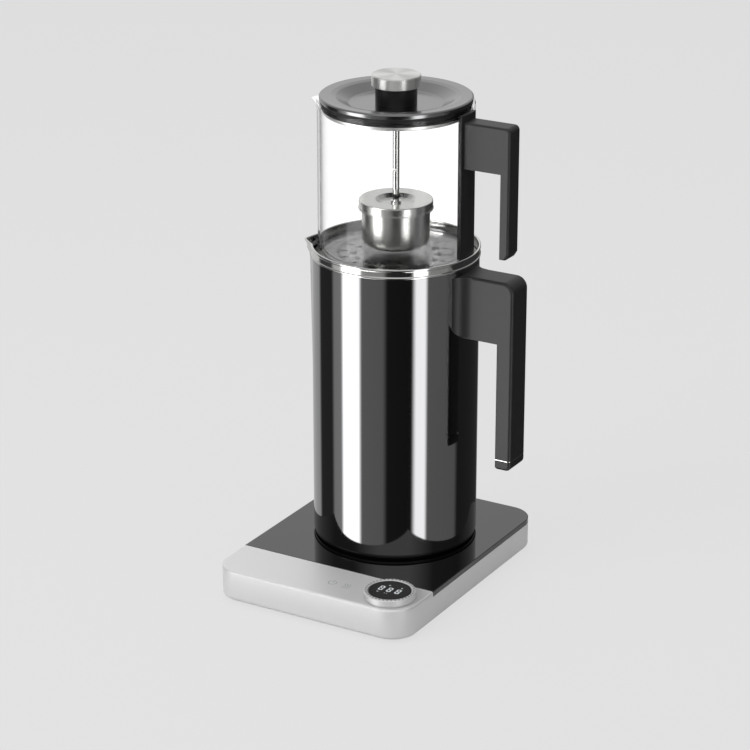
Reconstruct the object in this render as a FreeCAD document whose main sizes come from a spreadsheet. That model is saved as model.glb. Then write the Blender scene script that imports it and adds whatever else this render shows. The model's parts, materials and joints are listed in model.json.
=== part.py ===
import FreeCAD, Part
import Sketcher
import math
import os

# An automatic tea maker: a base with a glass plate and a turning dial, a steel kettle that stands on
# it, a perforated steam lid in the kettle's mouth, and a glass teapot with a hanging infuser on top.
# Millimetres. The origin is at the middle of the footprint's box, on the surface the feet stand on.
# +Z is up, +X is the side of the handles and -Y is the front with the dial. Round pieces are drawn
# about the kettle's axis, the dial's pieces about the dial's axis, and each is then placed.

doc = FreeCAD.newDocument("tea_maker")
sheet = doc.addObject("Spreadsheet::Sheet", "dims")
nodes = []


class Size:
    """A length with the sheet expression that gives it."""

    def __init__(self, number, text):
        self.number = number
        self.text = text

    def __add__(self, other):
        other = as_size(other)
        return Size(self.number + other.number, f"({self.text} + {other.text})")

    def __sub__(self, other):
        other = as_size(other)
        return Size(self.number - other.number, f"({self.text} - {other.text})")

    def __mul__(self, other):
        other = as_size(other)
        return Size(self.number * other.number, f"({self.text} * {other.text})")

    def __truediv__(self, other):
        other = as_size(other)
        return Size(self.number / other.number, f"({self.text} / {other.text})")

    def __neg__(self):
        return Size(-self.number, f"(0 - {self.text})")

    def __radd__(self, other):
        return as_size(other) + self

    def __rsub__(self, other):
        return as_size(other) - self

    def __rmul__(self, other):
        return as_size(other) * self


def as_size(value):
    return value if isinstance(value, Size) else Size(float(value), f"({float(value)!r})")


def dimension(alias, number):
    """A driving dimension: one named cell of the sheet."""
    row = dimension.rows = getattr(dimension, "rows", 0) + 1
    sheet.set(f"A{row}", alias)
    sheet.set(f"B{row}", str(number))
    sheet.setAlias(f"B{row}", alias)
    return Size(float(number), f"dims.{alias}")


def cosine(angle):
    return Size(math.cos(math.radians(angle.number)), f"cos({angle.text})")


def sine(angle):
    return Size(math.sin(math.radians(angle.number)), f"sin({angle.text})")


def bind(item, path, size):
    item.setExpression(path, as_size(size).text)


# Clearances shared by every fit
joint_gap = dimension("joint_gap", 0.3)
running_gap = dimension("running_gap", 0.4)
slip_gap = dimension("slip_gap", 0.1)

# Base
foot_height = dimension("foot_height", 2.5)
foot_radius = dimension("foot_radius", 8.0)
foot_recess = dimension("foot_recess", 1.0)
foot_side = dimension("foot_side", 62.0)
foot_front = dimension("foot_front", 112.0)
foot_back = dimension("foot_back", 58.0)
base_height = dimension("base_height", 25.1)
base_width = dimension("base_width", 170.6)
front_reach = dimension("front_reach", 137.0)
back_reach = dimension("back_reach", 83.5)
corner_radius = dimension("corner_radius", 20.5)
base_wall = dimension("base_wall", 3.6)
deck = dimension("deck", 2.2)
cover_thickness = dimension("cover_thickness", 2.2)
top_round = dimension("top_round", 1.6)
bottom_round = dimension("bottom_round", 3.0)
glass_thickness = dimension("glass_thickness", 4.25)
glass_reach = dimension("glass_reach", 90.3)
screw_radius = dimension("screw_radius", 1.5)
screw_head = dimension("screw_head", 3.0)
screw_head_height = dimension("screw_head_height", 1.3)
screw_length = dimension("screw_length", 10.0)
boss_radius = dimension("boss_radius", 4.0)
boss_side = dimension("boss_side", 74.0)
boss_front = dimension("boss_front", 78.0)
boss_back = dimension("boss_back", 40.0)
gland_radius = dimension("gland_radius", 6.0)
gland_collar = dimension("gland_collar", 7.5)
gland_length = dimension("gland_length", 12.0)
cord_radius = dimension("cord_radius", 3.4)
gland_height = dimension("gland_height", 12.9)
vent_near = dimension("vent_near", 20.0)
vent_far = dimension("vent_far", 60.0)
vent_width = dimension("vent_width", 3.0)
vent_spread = dimension("vent_spread", 30.0)

# Circuit boards and what they carry
board_thickness = dimension("board_thickness", 1.6)
board_depth_below_top = dimension("board_depth_below_top", 9.2)
control_left = dimension("control_left", -24.0)
control_right = dimension("control_right", 75.0)
control_front = dimension("control_front", 128.0)
control_back = dimension("control_back", 98.0)
board_post_radius = dimension("board_post_radius", 3.0)
board_screw_radius = dimension("board_screw_radius", 1.0)
board_screw_length = dimension("board_screw_length", 4.0)
board_screw_head = dimension("board_screw_head", 1.2)
board_post_inset = dimension("board_post_inset", 5.0)
board_post_margin = dimension("board_post_margin", 4.0)
power_left = dimension("power_left", -68.0)
power_right = dimension("power_right", -24.0)
power_reach = dimension("power_reach", 30.0)
power_rise = dimension("power_rise", 3.3)
relay_height = dimension("relay_height", 8.5)
relay_side = dimension("relay_side", 12.0)
relay_length = dimension("relay_length", 20.0)
relay_front = dimension("relay_front", 20.0)
relay_back = dimension("relay_back", 4.0)
capacitor_radius = dimension("capacitor_radius", 4.5)
capacitor_side = dimension("capacitor_side", 14.0)
capacitor_back = dimension("capacitor_back", 12.0)
power_symbol_x = dimension("power_symbol_x", 10.4)
warm_symbol_x = dimension("warm_symbol_x", 23.3)
symbol_front = dimension("symbol_front", 114.7)
sensor_radius = dimension("sensor_radius", 4.5)
buzzer_x = dimension("buzzer_x", -10.0)
buzzer_radius = dimension("buzzer_radius", 6.0)
buzzer_height = dimension("buzzer_height", 5.0)

# Dial
dial_x = dimension("dial_x", 61.4)
dial_front = dimension("dial_front", 115.0)
dial_radius = dimension("dial_radius", 20.0)
dial_rise = dimension("dial_rise", 6.2)
dial_bevel = dimension("dial_bevel", 1.3)
press_travel = dimension("press_travel", 1.0)
lens_radius = dimension("lens_radius", 16.3)
lens_thickness = dimension("lens_thickness", 1.6)
sleeve_wall = dimension("sleeve_wall", 1.4)
magnet_height = dimension("magnet_height", 2.0)
magnet_radius = dimension("magnet_radius", 19.8)
carrier_wall = dimension("carrier_wall", 1.45)
carrier_floor = dimension("carrier_floor", 1.4)
module_height = dimension("module_height", 3.0)
switch_radius = dimension("switch_radius", 3.0)

# Connectors between base and kettle
collar_radius = dimension("collar_radius", 19.5)
collar_height = dimension("collar_height", 1.2)
tower_radius = dimension("tower_radius", 14.5)
tower_height = dimension("tower_height", 9.0)
socket_depth = dimension("socket_depth", 12.0)
neck_radius = dimension("neck_radius", 17.0)
groove_inner = dimension("groove_inner", 6.5)
groove_outer = dimension("groove_outer", 9.5)
groove_floor = dimension("groove_floor", 2.0)
pin_bore = dimension("pin_bore", 3.0)
contact_wall = dimension("contact_wall", 0.5)
skirt_radius = dimension("skirt_radius", 18.5)
flange_radius = dimension("flange_radius", 24.0)

# Kettle
kettle_radius = dimension("kettle_radius", 65.0)
kettle_wall = dimension("kettle_wall", 1.0)
kettle_foot = dimension("kettle_foot", 4.0)
kettle_floor = dimension("kettle_floor", 16.0)
floor_thickness = dimension("floor_thickness", 1.2)
band_bottom = dimension("band_bottom", 232.0)
rim_height = dimension("rim_height", 240.0)
rim_radius = dimension("rim_radius", 65.8)
rim_groove = dimension("rim_groove", 0.5)
pan_radius = dimension("pan_radius", 64.3)
pan_foot_radius = dimension("pan_foot_radius", 61.5)
pan_hole = dimension("pan_hole", 21.0)
pan_foot_width = dimension("pan_foot_width", 3.0)
pan_rise = dimension("pan_rise", 1.0)
pan_sheet = dimension("pan_sheet", 2.0)
pan_upstand = dimension("pan_upstand", 5.0)
pan_edge_rise = dimension("pan_edge_rise", 1.2)
pan_edge_bevel = dimension("pan_edge_bevel", 0.6)
pan_screw_sink = dimension("pan_screw_sink", 0.5)
pan_screw_bite = dimension("pan_screw_bite", 2.0)
plate_radius = dimension("plate_radius", 52.0)
plate_thickness = dimension("plate_thickness", 3.0)
element_circle = dimension("element_circle", 38.0)
element_radius = dimension("element_radius", 3.0)
element_sweep = dimension("element_sweep", 320.0)
sensor_place = dimension("sensor_place", 29.5)
probe_radius = dimension("probe_radius", 2.8)
probe_length = dimension("probe_length", 4.0)
pan_screw_circle = dimension("pan_screw_circle", 47.0)
ledge_reach = dimension("ledge_reach", 2.5)
ledge_top = dimension("ledge_top", 230.2)
spout_angle = dimension("spout_angle", 20.0)
spout_tip = dimension("spout_tip", 71.8)
spout_width = dimension("spout_width", 11.0)
spout_drop = dimension("spout_drop", 24.0)
spout_wall = dimension("spout_wall", 1.0)

# Kettle handle
arm_bottom = dimension("arm_bottom", 178.0)
arm_top = dimension("arm_top", 228.0)
finger_gap = dimension("finger_gap", 30.3)
grip_thickness = dimension("grip_thickness", 13.6)
grip_bottom = dimension("grip_bottom", 75.0)
handle_width = dimension("handle_width", 24.8)
cover_depth = dimension("cover_depth", 5.6)
cap_height = dimension("cap_height", 7.6)
seam_height = dimension("seam_height", 0.9)
seam_inset = dimension("seam_inset", 0.4)
handle_round = dimension("handle_round", 9.0)
handle_edge = dimension("handle_edge", 2.4)
bracket_width = dimension("bracket_width", 12.0)
bracket_height = dimension("bracket_height", 24.0)
bracket_length = dimension("bracket_length", 24.0)
bracket_screw_near = dimension("bracket_screw_near", 8.0)
bracket_screw_far = dimension("bracket_screw_far", 17.0)

# Steam lid
lid_sheet = dimension("lid_sheet", 0.8)
plate_surface = dimension("plate_surface", 231.8)
seat_inner = dimension("seat_inner", 46.0)
seat_outer = dimension("seat_outer", 56.0)
seat_rise = dimension("seat_rise", 1.4)
slot_circle = dimension("slot_circle", 40.5)
slot_length = dimension("slot_length", 6.5)
slot_width = dimension("slot_width", 2.2)
slot_count = dimension("slot_count", 16)
bump_circle = dimension("bump_circle", 33.0)
bump_radius = dimension("bump_radius", 2.7)
bump_height = dimension("bump_height", 1.1)
bump_hole = dimension("bump_hole", 0.9)
bump_count = dimension("bump_count", 14)

# Teapot
pot_radius = dimension("pot_radius", 60.2)
pot_wall = dimension("pot_wall", 2.4)
pot_floor = dimension("pot_floor", 3.0)
pot_bottom = dimension("pot_bottom", 233.5)
pot_rim = dimension("pot_rim", 353.0)
pot_corner = dimension("pot_corner", 6.0)
lip_tip = dimension("lip_tip", 66.4)
lip_width = dimension("lip_width", 7.5)
lip_drop = dimension("lip_drop", 9.0)
strap_thickness = dimension("strap_thickness", 3.2)
strap_sweep = dimension("strap_sweep", 20.0)
strap_bottom = dimension("strap_bottom", 239.0)
pot_arm_bottom = dimension("pot_arm_bottom", 311.0)
pot_arm_top = dimension("pot_arm_top", 347.0)
pot_finger_gap = dimension("pot_finger_gap", 30.8)
pot_grip_thickness = dimension("pot_grip_thickness", 7.5)
pot_grip_bottom = dimension("pot_grip_bottom", 244.6)
pot_grip_taper = dimension("pot_grip_taper", 2.5)
pot_taper_height = dimension("pot_taper_height", 4.0)
pot_handle_width = dimension("pot_handle_width", 16.6)
pot_handle_edge = dimension("pot_handle_edge", 1.8)
pot_handle_round = dimension("pot_handle_round", 4.0)
pot_screw_low = dimension("pot_screw_low", 320.0)
pot_screw_high = dimension("pot_screw_high", 338.0)
pot_screw_length = dimension("pot_screw_length", 10.0)
pot_screw_head = dimension("pot_screw_head", 1.2)

# Teapot lid and its knob
lid_radius = dimension("lid_radius", 58.8)
lid_bottom = dimension("lid_bottom", 354.3)
lid_top = dimension("lid_top", 358.3)
dish_radius = dimension("dish_radius", 36.0)
dish_floor = dimension("dish_floor", 352.0)
dish_slope = dimension("dish_slope", 10.0)
skirt_wall = dimension("skirt_wall", 1.2)
lid_skirt_radius = dimension("lid_skirt_radius", 56.0)
skirt_bottom = dimension("skirt_bottom", 345.0)
lid_plate_sheet = dimension("lid_plate_sheet", 1.2)
seal_depth = dimension("seal_depth", 5.2)
seal_wall = dimension("seal_wall", 0.5)
fin_height = dimension("fin_height", 0.8)
knob_neck_radius = dimension("knob_neck_radius", 16.0)
cap_bottom = dimension("cap_bottom", 365.4)
cap_top = dimension("cap_top", 374.2)
cap_radius = dimension("cap_radius", 18.9)
cap_bevel = dimension("cap_bevel", 0.7)
stud_radius = dimension("stud_radius", 1.9)
stud_length = dimension("stud_length", 28.0)
nut_radius = dimension("nut_radius", 6.0)
nut_height = dimension("nut_height", 3.6)

# Infuser
rod_radius = dimension("rod_radius", 2.6)
hook_top = dimension("hook_top", 300.0)
hook_height = dimension("hook_height", 6.6)
hook_barb = dimension("hook_barb", 2.2)
hook_tongue = dimension("hook_tongue", 1.2)
hook_gap = dimension("hook_gap", 0.25)
basket_lid_radius = dimension("basket_lid_radius", 28.7)
basket_lid_top = dimension("basket_lid_top", 275.8)
basket_lid_bottom = dimension("basket_lid_bottom", 268.4)
basket_sheet = dimension("basket_sheet", 0.8)
basket_dish_radius = dimension("basket_dish_radius", 12.0)
basket_dish_depth = dimension("basket_dish_depth", 3.0)
bead_reach = dimension("bead_reach", 0.5)
bead_height = dimension("bead_height", 1.1)
foot_nut_radius = dimension("foot_nut_radius", 4.0)
foot_nut_height = dimension("foot_nut_height", 1.8)
cup_radius = dimension("cup_radius", 26.3)
cup_bottom = dimension("cup_bottom", 240.0)
cup_corner = dimension("cup_corner", 5.5)
cup_margin = dimension("cup_margin", 1.6)
lug_length = dimension("lug_length", 1.2)
lug_height = dimension("lug_height", 1.2)
perforation_radius = dimension("perforation_radius", 0.6)
perforation_pitch = dimension("perforation_pitch", 4.0)

doc.recompute()

# Levels that several pieces share. Heights of the kettle and of what stands on it are measured from
# the glass plate, so each is lifted by the height of that plate's top.
glass_top = foot_height + base_height
glass_bottom = glass_top - glass_thickness
deck_bottom = glass_bottom - deck
panel_bottom = glass_top - deck
cover_top = foot_height + cover_thickness
board_top = glass_top - board_depth_below_top
board_bottom = board_top - board_thickness
power_bottom = cover_top + power_rise
power_top = power_bottom + board_thickness
half_width = base_width / 2
inner_radius = kettle_radius - kettle_wall
grip_inner = kettle_radius + finger_gap
handle_reach = grip_inner + grip_thickness
pot_grip_inner = pot_radius + slip_gap + strap_thickness + pot_finger_gap
pot_handle_reach = pot_grip_inner + pot_grip_thickness
shift_x = (half_width - handle_reach) / 2
shift_y = (front_reach - back_reach) / 2


def level(height):
    """A height above the glass plate, as a height above the floor."""
    return glass_top + height


def place(item, label, at_dial=False):
    """Name a piece, and put its own axis at its place in the whole."""
    item.Label = label
    bind(item, "Placement.Base.x", shift_x + dial_x if at_dial else shift_x)
    bind(item, "Placement.Base.y", shift_y - dial_front if at_dial else shift_y)
    nodes.append(item)
    return item


def new_body(label, at_dial=False):
    return place(doc.addObject("PartDesign::Body", label), label, at_dial)


def new_sketch(body, plane, lift=0, turn=0):
    """A sketch on one of the body's own planes, moved along the plane's normal and turned in it."""
    sketch = body.newObject("Sketcher::SketchObject", body.Name + "_sketch")
    origin_plane = [f for f in body.Origin.OriginFeatures if f.Role == plane][0]
    sketch.AttachmentSupport = (origin_plane, [""])
    sketch.MapMode = "FlatFace"
    lift = as_size(lift)
    turn = as_size(turn)
    sketch.AttachmentOffset = FreeCAD.Placement(
        FreeCAD.Vector(0, 0, lift.number), FreeCAD.Rotation(FreeCAD.Vector(0, 0, 1), turn.number))
    bind(sketch, "AttachmentOffset.Base.z", lift)
    if turn.number:
        bind(sketch, "AttachmentOffset.Rotation.Angle", turn)
    return sketch


def pin(sketch, geometry, end, x, y):
    """Hold one point of a sketch by its distances from the sketch's origin."""
    for kind, size in (("DistanceX", x), ("DistanceY", y)):
        index = sketch.addConstraint(Sketcher.Constraint(kind, -1, 1, geometry, end, size.number))
        sketch.setExpression(f"Constraints[{index}]", size.text)


def draw(sketch, points):
    """A closed outline of straight lines through the points."""
    corners = [(as_size(x), as_size(y)) for x, y in points]
    first = sketch.GeometryCount
    for (x1, y1), (x2, y2) in zip(corners, corners[1:] + corners[:1]):
        start = FreeCAD.Vector(x1.number, y1.number, 0)
        end = FreeCAD.Vector(x2.number, y2.number, 0)
        sketch.addGeometry(Part.LineSegment(start, end), False)
    for index in range(len(corners)):
        following = first + (index + 1) % len(corners)
        sketch.addConstraint(Sketcher.Constraint("Coincident", first + index, 2, following, 1))
    for index, (x, y) in enumerate(corners):
        pin(sketch, first + index, 1, x, y)
    return sketch


def draw_circles(sketch, centres, radius):
    radius = as_size(radius)
    for x, y in centres:
        x, y = as_size(x), as_size(y)
        centre = FreeCAD.Vector(x.number, y.number, 0)
        circle = sketch.addGeometry(Part.Circle(centre, FreeCAD.Vector(0, 0, 1), radius.number), False)
        pin(sketch, circle, 3, x, y)
        index = sketch.addConstraint(Sketcher.Constraint("Radius", circle, radius.number))
        sketch.setExpression(f"Constraints[{index}]", radius.text)
    return sketch


def volume(body):
    doc.recompute()
    return body.Shape.Volume if body.Tip and not body.Shape.isNull() else 0.0


def feature(body, kind, sketch, **sizes):
    """Add a feature on a sketch, bind its sizes, and make sure that it changed the body."""
    before = volume(body)
    item = body.newObject("PartDesign::" + kind, body.Name + "_" + kind)
    item.Profile = sketch
    for name in ("Midplane", "Reversed"):
        if name in sizes:
            setattr(item, name, sizes.pop(name))
    if kind in ("Revolution", "Groove"):
        item.ReferenceAxis = (sketch, ["V_Axis"])
    for name, size in sizes.items():
        setattr(item, name, as_size(size).number)
        bind(item, name, size)
    if abs(volume(body) - before) < 1e-6:
        raise RuntimeError(f"{item.Name} changed nothing")
    return item


def turned(label, outline, angle=360, at_dial=False, extra=()):
    """A body of revolution about Z from an outline of (radius, height) points."""
    body = new_body(label, at_dial)
    sketch = draw(new_sketch(body, "XZ_Plane"), outline)
    for loop in extra:
        draw(sketch, loop)
    feature(body, "Revolution", sketch, Angle=angle, Midplane=as_size(angle).number < 360)
    return body


def pad(body, outline, bottom, top):
    """Fill an outline of (x, y) points between two heights."""
    return feature(body, "Pad", draw(new_sketch(body, "XY_Plane", bottom), outline), Length=top - bottom)


def pocket(body, outline, bottom, top):
    sketch = draw(new_sketch(body, "XY_Plane", bottom), outline)
    return feature(body, "Pocket", sketch, Length=top - bottom, Reversed=True)


def posts(body, centres, radius, bottom, top):
    """Round posts of one radius between two heights."""
    sketch = draw_circles(new_sketch(body, "XY_Plane", bottom), centres, radius)
    return feature(body, "Pad", sketch, Length=top - bottom)


def holes(body, centres, radius, bottom, top):
    sketch = draw_circles(new_sketch(body, "XY_Plane", bottom), centres, radius)
    return feature(body, "Pocket", sketch, Length=top - bottom, Reversed=True)


def slab(body, outline, width):
    """Fill an outline of (x, z) points symmetrically about the plane of the handles."""
    return feature(body, "Pad", draw(new_sketch(body, "XZ_Plane"), outline), Length=width, Midplane=True)


def repeat(body, item, count):
    """Repeat a feature around the Z axis."""
    pattern = body.newObject("PartDesign::PolarPattern", body.Name + "_pattern")
    pattern.Originals = [item]
    pattern.Axis = ([f for f in body.Origin.OriginFeatures if f.Role == "Z_Axis"][0], [""])
    pattern.Angle = 360
    pattern.Occurrences = int(count.number)
    bind(pattern, "Occurrences", count)
    body.Tip = pattern
    doc.recompute()
    return pattern


def ease(body, kind, size, wanted):
    """Fillet or chamfer the edges that a test picks."""
    doc.recompute()
    base = body.Tip
    names = [f"Edge{i}" for i, edge in enumerate(base.Shape.Edges, 1) if wanted(edge)]
    if not names:
        raise RuntimeError(f"{body.Name} has no such edge")
    item = body.newObject("PartDesign::" + kind, body.Name + "_" + kind)
    item.Base = (base, names)
    name = "Radius" if kind == "Fillet" else "Size"
    setattr(item, name, as_size(size).number)
    bind(item, name, size)
    doc.recompute()
    return item


def near(a, b):
    return abs(a - as_size(b).number) < 0.01


def ring(radius, height):
    """A test for a circular edge of this radius at this height."""
    def wanted(edge):
        curve = edge.Curve
        return (isinstance(curve, Part.Circle) and near(curve.Radius, radius)
                and near(edge.BoundBox.ZMin, height) and near(edge.BoundBox.ZMax, height))
    return wanted


def across(x, z):
    """A test for an edge that runs along Y at this place."""
    def wanted(edge):
        box = edge.BoundBox
        return box.YLength > 1 and all(near(a, x) for a in (box.XMin, box.XMax)) and all(
            near(a, z) for a in (box.ZMin, box.ZMax))
    return wanted


def upright(x, y=None):
    """A test for a vertical edge at this x, and at this distance from the middle plane."""
    def wanted(edge):
        box = edge.BoundBox
        straight = box.ZLength > 1 and box.XLength < 0.01 and box.YLength < 0.01
        return straight and near(box.XMin, x) and (y is None or near(abs(box.YMin), y))
    return wanted


def either(*tests):
    return lambda edge: any(test(edge) for test in tests)


def box_outline(left, right, front, back):
    return [(left, front), (right, front), (right, back), (left, back)]


def around(radius, angles):
    """Points on a circle about the axis."""
    return [(radius * cosine(as_size(a)), radius * sine(as_size(a))) for a in angles]


# Base

def base_outline(inset):
    """The footprint of the base, drawn in by an inset."""
    side = half_width - inset
    return box_outline(-side, side, -(front_reach - inset), back_reach - inset)


def round_corners(body, inset, bottom, only_back=False):
    """Round the vertical corners of the footprint that start at a height."""
    side = half_width - inset

    def wanted(edge):
        box = edge.BoundBox
        corner = upright(side)(edge) or upright(-side)(edge)
        at_back = near(box.YMin, back_reach - inset)
        at_front = near(box.YMin, -(front_reach - inset)) and not only_back
        return corner and near(box.ZMin, bottom) and (at_back or at_front)
    ease(body, "Fillet", corner_radius - inset, wanted)


foot_centres = [(side * foot_side, y) for side in (-1, 1) for y in (-foot_front, foot_back)]
boss_centres = [(side * boss_side, y) for side in (-1, 1) for y in (-boss_front, boss_back)]
control_posts = [(x, y) for x in (control_left + board_post_inset, dial_x - magnet_radius - board_post_margin)
                 for y in (-(control_back + board_post_inset), -(control_front - board_post_inset))]
power_posts = [(x, side * (power_reach - board_post_inset))
               for x in (power_left + board_post_inset, power_right - board_post_inset) for side in (-1, 1)]
sleeve_inner = lens_radius + 0.5
sleeve_outer = sleeve_inner + sleeve_wall


def make_core():
    """The hollow of the housing, as a plug with the same rounded corners."""
    core = doc.addObject("PartDesign::Body", "housing_hollow")
    below = foot_height - 1
    side = half_width - base_wall
    pad(core, base_outline(base_wall), below, deck_bottom)
    front = box_outline(-side, side, -(front_reach - base_wall), -(glass_reach + base_wall))
    pad(core, front, below, panel_bottom)
    round_corners(core, base_wall, below)
    return core


def make_housing():
    """The silver shell: walls all round, a front panel, and a lower deck under the glass plate."""
    outer = doc.addObject("PartDesign::Body", "housing_outer")
    pad(outer, base_outline(0), foot_height, glass_top)
    round_corners(outer, 0, foot_height)
    past_side = half_width + 1

    def on_top(edge):
        box = edge.BoundBox
        flat = near(box.ZMin, glass_top) and near(box.ZMax, glass_top)
        return flat and box.YMin < -(glass_reach.number)
    seat = box_outline(-past_side, past_side, -glass_reach, back_reach + 1)
    pocket(outer, seat, glass_bottom, glass_top + 1)

    def rim_of_panel(edge):
        box = edge.BoundBox
        along_joint = near(box.YMin, -glass_reach) and near(box.YMax, -glass_reach)
        return on_top(edge) and not along_joint
    ease(outer, "Fillet", top_round, rim_of_panel)

    def underside(edge):
        box = edge.BoundBox
        return near(box.ZMin, foot_height) and near(box.ZMax, foot_height)
    ease(outer, "Fillet", bottom_round, underside)
    hollow = make_core()
    shell = doc.addObject("Part::Cut", "housing_shell")
    shell.Base = outer
    shell.Tool = hollow
    fixings = doc.addObject("PartDesign::Body", "housing_bosses")
    posts(fixings, boss_centres, boss_radius, cover_top, deck_bottom)
    joined = doc.addObject("Part::Fuse", "housing_with_bosses")
    joined.Base = shell
    joined.Tool = fixings
    cuts = doc.addObject("PartDesign::Body", "housing_holes")
    posts(cuts, boss_centres, screw_radius + slip_gap / 2, cover_top - 1, cover_top + screw_length)
    posts(cuts, [(0, 0)], neck_radius + slip_gap, deck_bottom - 1, glass_top)
    posts(cuts, [(dial_x, -dial_front)], sleeve_outer + running_gap, panel_bottom - 1, glass_top + 1)
    posts(cuts, [(dial_x, -dial_front)], magnet_radius + running_gap, board_bottom, panel_bottom)
    gland_hole = new_sketch(cuts, "XZ_Plane", -(back_reach + 1))
    draw_circles(gland_hole, [(0, gland_height)], gland_radius + slip_gap)
    feature(cuts, "Pad", gland_hole, Length=gland_length)
    housing = doc.addObject("Part::Cut", "base_housing")
    housing.Base = joined
    housing.Tool = cuts
    return place(housing, "base_housing")


def make_glass_plate():
    plate = new_body("glass_plate")
    outline = box_outline(-half_width, half_width, -(glass_reach - joint_gap), back_reach)
    pad(plate, outline, glass_bottom, glass_top)
    round_corners(plate, 0, glass_bottom, only_back=True)

    def top_edge(edge):
        box = edge.BoundBox
        return near(box.ZMin, glass_top) and near(box.ZMax, glass_top)
    ease(plate, "Chamfer", 0.4, top_edge)
    holes(plate, [(0, 0)], neck_radius + slip_gap, glass_bottom, glass_top)


def make_bottom_cover():
    cover = new_body("bottom_cover")
    inset = base_wall + slip_gap
    pad(cover, base_outline(inset), foot_height, cover_top)
    round_corners(cover, inset, foot_height)
    posts(cover, control_posts, board_post_radius, cover_top, board_bottom)
    posts(cover, power_posts, board_post_radius, cover_top, power_bottom)
    holes(cover, foot_centres, foot_radius + slip_gap, foot_height, foot_height + foot_recess)
    holes(cover, boss_centres, screw_radius + slip_gap, foot_height, cover_top)
    holes(cover, boss_centres, screw_head + slip_gap, foot_height, foot_height + screw_head_height)
    holes(cover, control_posts, board_screw_radius, board_bottom - board_screw_length - 1, board_bottom)
    holes(cover, power_posts, board_screw_radius, cover_top, power_bottom)
    vent = pocket(cover, box_outline(vent_near, vent_far, -vent_width, 0), foot_height, cover_top)
    pattern = cover.newObject("PartDesign::LinearPattern", "vent_pattern")
    pattern.Originals = [vent]
    pattern.Direction = ([f for f in cover.Origin.OriginFeatures if f.Role == "Y_Axis"][0], [""])
    pattern.Length = vent_spread.number
    bind(pattern, "Length", vent_spread)
    pattern.Occurrences = 5
    cover.Tip = pattern
    doc.recompute()


def make_base_fixings():
    feet = new_body("rubber_feet")
    posts(feet, foot_centres, foot_radius, 0, foot_height + foot_recess)
    ease(feet, "Fillet", 0.8, ring(foot_radius, 0))
    screws = new_body("housing_screws")
    head_top = foot_height + screw_head_height
    posts(screws, boss_centres, screw_head, foot_height, head_top)
    posts(screws, boss_centres, screw_radius, head_top, cover_top + screw_length - 1)


def make_gland():
    """The cord's bush in the back wall: a sleeve with a collar behind the wall."""
    gland = new_body("cord_gland")
    centre = [(0, gland_height)]
    sleeve = draw_circles(new_sketch(gland, "XZ_Plane", -back_reach), centre, gland_radius)
    feature(gland, "Pad", sleeve, Length=gland_length)
    inside = -(back_reach - base_wall)
    collar = draw_circles(new_sketch(gland, "XZ_Plane", inside), centre, gland_collar)
    feature(gland, "Pad", collar, Length=2)
    bore = draw_circles(new_sketch(gland, "XZ_Plane", -back_reach), centre, cord_radius)
    feature(gland, "Pocket", bore, Length=gland_length, Reversed=True)


def make_boards():
    control = new_body("control_board")
    outline = box_outline(control_left, control_right, -control_front, -control_back)
    pad(control, outline, board_bottom, board_top)
    holes(control, control_posts, board_screw_radius, board_bottom, board_top)
    power = new_body("power_board")
    pad(power, box_outline(power_left, power_right, -power_reach, power_reach), power_bottom, power_top)
    holes(power, power_posts, board_screw_radius, power_bottom, power_top)
    relay = new_body("power_relay")
    relay_left = power_left + relay_side
    pad(relay, box_outline(relay_left, relay_left + relay_length, -relay_front, -relay_back),
        power_top, power_top + relay_height)
    capacitor = new_body("power_capacitor")
    posts(capacitor, [(power_left + capacitor_side, capacitor_back)], capacitor_radius,
          power_top, power_top + relay_height)
    ease(capacitor, "Fillet", 0.8, ring(capacitor_radius, power_top + relay_height))
    screws = new_body("board_screws")
    shank = board_screw_radius - slip_gap / 2
    posts(screws, control_posts, shank, board_bottom - board_screw_length, board_top)
    posts(screws, control_posts, board_screw_radius * 2, board_top, board_top + board_screw_head)
    posts(screws, power_posts, shank, cover_top + joint_gap, power_top)
    posts(screws, power_posts, board_screw_radius * 2, power_top, power_top + board_screw_head)
    sensors = new_body("touch_sensors")
    places = [(power_symbol_x, -symbol_front), (warm_symbol_x, -symbol_front)]
    posts(sensors, places, sensor_radius - 1.5, board_top, panel_bottom - 1)
    posts(sensors, places, sensor_radius, panel_bottom - 1, panel_bottom)
    buzzer = new_body("buzzer")
    posts(buzzer, [(buzzer_x, -symbol_front)], buzzer_radius, board_top, board_top + buzzer_height)
    holes(buzzer, [(buzzer_x, -symbol_front)], 1, board_top + 2, board_top + buzzer_height)


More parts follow.
